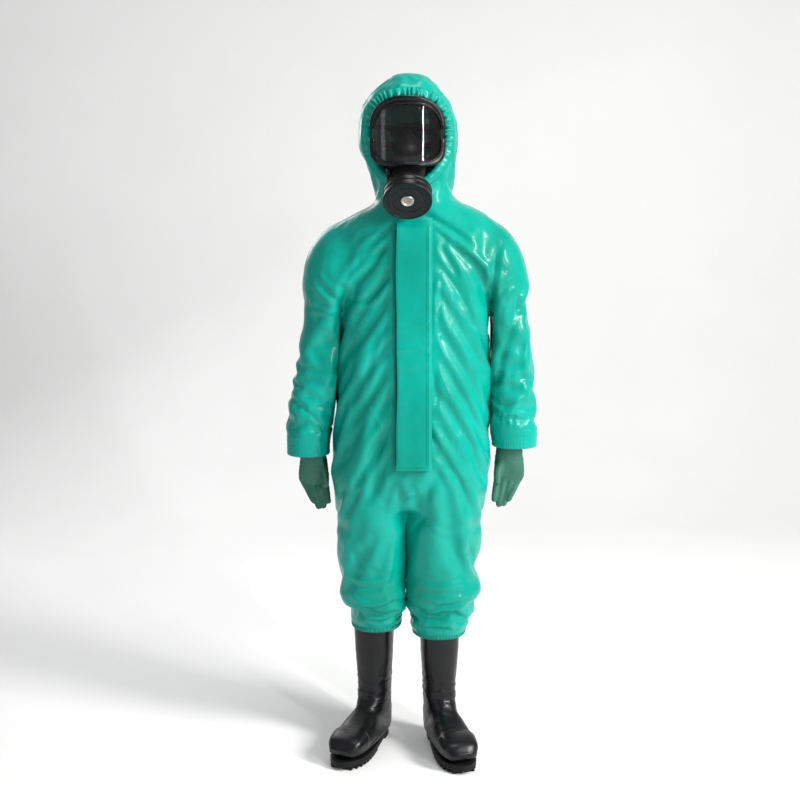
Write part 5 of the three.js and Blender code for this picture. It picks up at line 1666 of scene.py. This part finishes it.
def build_boot(side):
    bx, by, turn, mirror = (-97, 48, -24, 1) if side == "right" else (80, 34, 17, -1)
    T = Matrix.Translation((bx / 1000, by / 1000, 0)) @ Matrix.Rotation(math.radians(turn), 4, "Z")
    q = interp_rows([(i, *r) for i, r in enumerate(BOOT_ROWS)], np.linspace(0, len(BOOT_ROWS) - 1, 120))
    N = 96
    rings = []
    for ty, tz, ly, lz, h, n in zip(*q):
        a, b = np.array([0, ly, lz]), np.array([0, ty, tz])
        v = (b - a) / np.linalg.norm(b - a)
        rings.append(ring((a + b) / 2, EX, v, h - 0.4, np.linalg.norm(a - b) / 2 - 0.4, n, N))
    # the toe closes in a rounded nose
    last = rings[-1]
    c = last.mean(0)
    for f, g in ((0.35, 0.90), (0.62, 0.74), (0.82, 0.52), (0.94, 0.28)):
        rings.append(c + (last - c) * g + np.array([0, -6.5, 1.5]) * f)
    V = np.concatenate(rings)
    nr = len(rings)
    F = grid_faces(nr, N, False, True)
    V = np.concatenate([V, [c + np.array([0, -7, 1.6])]])
    F += [(len(V) - 1, (nr - 1) * N + i, (nr - 1) * N + (i + 1) % N) for i in range(N)]
    o = fix_normals(new_obj(side + "_boot_shell", V / 1000, F, BOOT))
    P, Nn = V, vnormals(o.data)
    y, z, x = P[:, 1], P[:, 2], P[:, 0]
    seed = 2.0 if side == "right" else 6.0
    # instep creases run across the boot, deeper at the bend of the ankle
    across = np.sin(z / 5.4 + 0.9 * np.sin(x / 17 + seed) + y / 30)
    front = sm((-20 - y) / 30)
    bend = front * np.exp(-(((z - 136) / 24) ** 2))
    H = 1.5 * bend * across
    n1 = smooth_noise(P * np.array([0.5, 1, 1.6]), 30, seed)
    H += 1.6 * np.exp(-((n1 / 0.09) ** 2)) * (0.25 + 0.9 * np.exp(-(((z - 165) / 50) ** 2)))
    H += 1.0 * smooth_noise(P, 60, seed + 3)
    # toe cap: a moulded bulge with a step behind it
    toe = sm((-136 - y) / 9) * sm((z - 34) / 10)
    H += 1.7 * toe
    H += 0.9 * np.exp(-(((y + 132 + 0.0016 * x * x * 4) / 3.0) ** 2)) * sm((z - 40) / 10)
    # foxing: a raised band above the sole all round
    H += 1.4 * sm((44 - z) / 2.5) * sm((z - 22) / 6)
    H += 2.2 * sm((34 - z) / 6) * sm((z - 14) / 4) * sm((-50 - y) / 30)
    # heel counter and its spur
    H += 1.3 * sm((y - 22) / 8) * sm((98 - z) / 5) * sm((z - 40) / 8)
    keep = sm((380 - z) / 6)
    set_coords(o.data, (P + Nn * (H * keep)[:, None]) / 1000)
    m = o.modifiers.new("t", "SOLIDIFY")
    m.thickness = 0.0026
    m.offset = -1
    bpy.context.view_layer.objects.active = o
    bpy.ops.object.modifier_apply(modifier="t")
    # rolled rim
    top = rings[0]
    cc = top.mean(0)
    bead = []
    for i in range(N):
        d = top[i] - cc
        d /= np.linalg.norm(d)
        for k in range(8):
            a = k / 8 * 2 * math.pi
            bead.append(top[i] + d * (1.4 * math.cos(a) - 1.3) + EZ * 2.0 * math.sin(a) - EZ * 1.8)
    rim = fix_normals(new_obj("rim", np.array(bead) / 1000, grid_faces(N, 8, True, True), BOOT))
    bpy.ops.object.select_all(action="DESELECT")
    o.select_set(True)
    rim.select_set(True)
    bpy.context.view_layer.objects.active = o
    bpy.ops.object.join()
    o.data.transform(T)
    o.data.polygons.foreach_set("use_smooth", [True] * len(o.data.polygons))
    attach(o, side + "_foot")
    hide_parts(side + "_boot_upper")

    # outsole: a plate with a grooved wall, a heel block and lugs
    row = np.array(SOLE_ROW, float)
    ys = np.concatenate([54 - 4 * (1 - np.cos(np.linspace(0, np.pi / 2, 8))), np.linspace(49, -200, 60), -204 - 17.5 * np.sin(np.linspace(0, np.pi / 2, 10))])
    outw = np.interp(-ys, -row[:, 0], row[:, 1])
    inw = np.interp(-ys, -row[:, 0], row[:, 2])
    # rounder ends than the plain table
    for w in (outw, inw):
        w[:] = np.convolve(np.pad(w, 3, mode="edge"), np.ones(7) / 7, "valid")
        w[0] = w[-1] = 0.5
    loop = np.concatenate([np.stack([outw, ys], 1), np.stack([-inw, ys], 1)[::-1]])
    d = np.linalg.norm(np.diff(np.vstack([loop, loop[:1]]), axis=0), axis=1)
    s = np.concatenate([[0], np.cumsum(d)])
    n = 260
    u = np.linspace(0, s[-1], n + 1)[:-1]
    L = np.stack([np.interp(u, s, np.append(loop[:, k], loop[0, k])) for k in (0, 1)], 1)
    for _ in range(3):
        L = (np.roll(L, 1, 0) + 2 * L + np.roll(L, -1, 0)) / 4
    tan = np.roll(L, -1, 0) - np.roll(L, 1, 0)
    tan /= np.linalg.norm(tan, axis=1)[:, None]
    nor = np.stack([-tan[:, 1], tan[:, 0]], 1)
    if ((L - L.mean(0)) * nor).sum() < 0:
        nor = -nor
    V = []
    flute = 0.5 + 0.5 * np.sign(np.sin(u / 3.1))
    prof = [(10.2, -4.0, 0), (10.2, -0.8, 0), (11.4, 0.0, 0.4), (15.2, 0.2, 1), (16.0, -0.9, 0), (17.4, -0.9, 0), (18.2, 0.2, 0), (23.6, 0.2, 0), (25.4, -0.5, 0), (25.8, -4.0, 0)]
    for z, g, fl in prof:
        q = L + nor * (g - 0.9 * fl * flute)[:, None] if np.ndim(g) else L + nor * (g - 0.9 * fl * flute[:, None])
        V.append(np.stack([q[:, 0], q[:, 1], np.full(n, z)], 1))
    V = np.concatenate(V)
    F = grid_faces(len(prof), n, False, True) + [tuple(range(n)), tuple(range((len(prof) - 1) * n, len(prof) * n))[::-1]]
    sole = fix_normals(new_obj("sole", V / 1000, F, SOLE))
    sharpen(sole, 35)
    parts = [sole]

    def inside(px, py, inset):
        o_ = np.interp(-py, -row[:, 0], row[:, 1]) - inset
        i_ = np.interp(-py, -row[:, 0], row[:, 2]) - inset
        return min(o_, 200), min(i_, 200)

    def lug(poly, z0, z1, taper=0.8):
        k = len(poly)
        c_ = np.mean(poly, 0)
        V = [(*(c_ + (np.array(p) - c_) * f), z) for z, f in ((z1, 1.0), (z0 + 1.2, 0.93), (z0, 0.90)) for p in poly]
        F = grid_faces(3, k, False, True) + [tuple(range(k)), tuple(range(2 * k, 3 * k))[::-1]]
        b = fix_normals(new_obj("lug", np.array(V) / 1000, F, SOLE, smooth=False))
        parts.append(b)

    for y0 in list(np.arange(-206, -72, 15.5)) + list(np.arange(6, 46, 13.0)):
        y1 = y0 + (10.6 if y0 < 0 else 9.2)
        wo = min(inside(0, y0 + 2, 1.5)[0], inside(0, y1 - 2, 1.5)[0])
        wi = min(inside(0, y0 + 2, 1.5)[1], inside(0, y1 - 2, 1.5)[1])
        if wo < 10 or wi < 10:
            continue
        for a, b, sk in ((5, wo, 2.2), (-wi, -5, -2.2)):
            m1 = (a + b) / 2
            lug([(a, y0 + (sk if a > 0 else -sk) * 0), (m1, y0 + 1.8), (b, y0), (b, y1), (m1, y1 + 1.2), (a, y1)], 0.3, 10.6)
    bpy.ops.object.select_all(action="DESELECT")
    for p in parts:
        p.select_set(True)
    bpy.context.view_layer.objects.active = sole
    bpy.ops.object.join()
    sole.name = side + "_boot_sole"
    if mirror < 0:
        sole.data.transform(Matrix.Scale(-1, 4, (1, 0, 0)))
        sole.data.flip_normals()
    sole.data.transform(T)
    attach(sole, side + "_foot")
    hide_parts(side + "_boot_outsole")


# ------------------------------------------------------------------ head harness
def build_harness():
    cx, cy, a, b, w = -6.0, 24.0, 80.5, 75.0, 2.4
    path = [(cx - a, y) for y in np.linspace(-42, 20, 16)]
    path += [(cx - a * math.cos(t), cy + b * math.sin(t)) for t in np.linspace(0.05, math.pi - 0.05, 64)]
    path += [(cx + a, y) for y in np.linspace(20, -42, 16)]
    p = np.array(path)
    d = np.gradient(p, axis=0)
    d /= np.linalg.norm(d, axis=1)[:, None]
    nor = np.stack([-d[:, 1], d[:, 0]], 1)
    nor *= np.sign(((p - [cx, cy]) * nor).sum(1))[:, None]
    sec = fillet([(-w / 2 + 0.1, -7.8), (w / 2 - 0.1, -7.8), (w / 2 - 0.1, -4.2), (w / 2 - 0.7, -3.4), (w / 2 - 0.7, 3.4), (w / 2 - 0.1, 4.2), (w / 2 - 0.1, 7.8), (-w / 2 + 0.1, 7.8)], 0.4, 2)
    k = len(sec)
    parts = []
    for zc in (1648, 1606):
        V = []
        for i in range(len(p)):
            for g, h in sec:
                V.append((*(p[i] + nor[i] * g), zc + h))
        F = grid_faces(len(p), k, False, True) + [tuple(range(k)), tuple(range((len(p) - 1) * k, len(p) * k))[::-1]]
        o = fix_normals(new_obj("strap", np.array(V) / 1000, F, STRAP))
        parts.append(sharpen(o, 40))
    pl = box_obj("plate", (-30, 94.4, 1592.4), (18, 97.6, 1661.6), STRAP, 3.0)
    m = pl.modifiers.new("b", "BEVEL")
    m.width = 0.0006
    bpy.context.view_layer.objects.active = pl
    bpy.ops.object.modifier_apply(modifier="b")
    parts.append(pl)
    bpy.ops.object.select_all(action="DESELECT")
    for q in parts:
        q.select_set(True)
    bpy.context.view_layer.objects.active = parts[0]
    bpy.ops.object.join()
    o = parts[0]
    o.name = "head_straps"
    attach(o, "mask")
    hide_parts("head_harness")
    for s, side in ((-1, "right"), (1, "left")):
        lo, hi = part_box(side + "_harness_buckle")
        lo, hi = np.array(lo) * 1000, np.array(hi) * 1000
        xc = (lo[0] + hi[0]) / 2
        fr = [box_obj("a", (lo[0] + 0.4, lo[1], lo[2]), (hi[0] - 0.4, lo[1] + 3.4, hi[2]), STEEL, 0.9),
              box_obj("a", (lo[0] + 0.4, hi[1] - 3.4, lo[2]), (hi[0] - 0.4, hi[1], hi[2]), STEEL, 0.9),
              box_obj("a", (lo[0] + 0.4, lo[1], lo[2]), (hi[0] - 0.4, hi[1], lo[2] + 3.4), STEEL, 0.9),
              box_obj("a", (lo[0] + 0.4, lo[1], hi[2] - 3.4), (hi[0] - 0.4, hi[1], hi[2]), STEEL, 0.9),
              lathe("a", fillet([(0, -hi[2] + lo[2] + 3), (1.7, -hi[2] + lo[2] + 3), (1.7, -3), (0, -3)], 0.3), (xc / 1000, (lo[1] + hi[1]) / 2000, hi[2] / 1000), (0, 0, 1), STEEL, 20)]
        bpy.ops.object.select_all(action="DESELECT")
        for q in fr:
            q.select_set(True)
        bpy.context.view_layer.objects.active = fr[0]
        bpy.ops.object.join()
        fr[0].name = side + "_strap_buckle"
        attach(fr[0], "mask")
        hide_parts(side + "_harness_buckle")


# ------------------------------------------------------------------ floor
def build_floor():
    m = Mat("floor_paper", Specular_IOR_Level=0.2)
    m.color(m.ramp(m.noise(1.5, 3), [(0.3, (0.90, 0.90, 0.90)), (0.7, (0.93, 0.93, 0.93))]))
    m.rough(m.ramp(m.noise(3, 2), [(0.3, (0.8,) * 3), (0.7, (0.9,) * 3)]))
    m.normal(m.bump(m.noise(30, 2), 0.02, 0.0005))
    pts = [(-6, 0), (6, 0)]
    V, F = [], []
    prof = [(-6.0, 0.0), (2.2, 0.0)] + [(2.2 + 1.6 * math.sin(a), 1.6 - 1.6 * math.cos(a)) for a in np.linspace(0.1, math.pi / 2, 14)] + [(3.8, 6.0)]
    for x in (-7.0, 7.0):
        V += [(x, y, z) for y, z in prof]
    k = len(prof)
    F = [(i, i + 1, k + i + 1, k + i) for i in range(k - 1)]
    o = new_obj("backdrop", V, F, m.m)
    fix_normals(o)


build_floor()
build_mask()
build_canister()
build_harness()
for a in (("right", -252, 872, 806, 746, 1), ("left", 259, 892, 826, 752, -1)):
    build_glove(*a)
build_boot("right")
build_boot("left")
build_bands()
pieces_, rim_ = build_coverall()
build_face_ruffle(rim_)
build_flap()
build_zip()
for node, mat in (("inner_zip_guard", TAPE), ("right_insole", FELT), ("left_insole", FELT), ("right_toe_cap", STEEL), ("left_toe_cap", STEEL)):
    finish(node, mat)


def all_points():
    return [list(v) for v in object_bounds()]
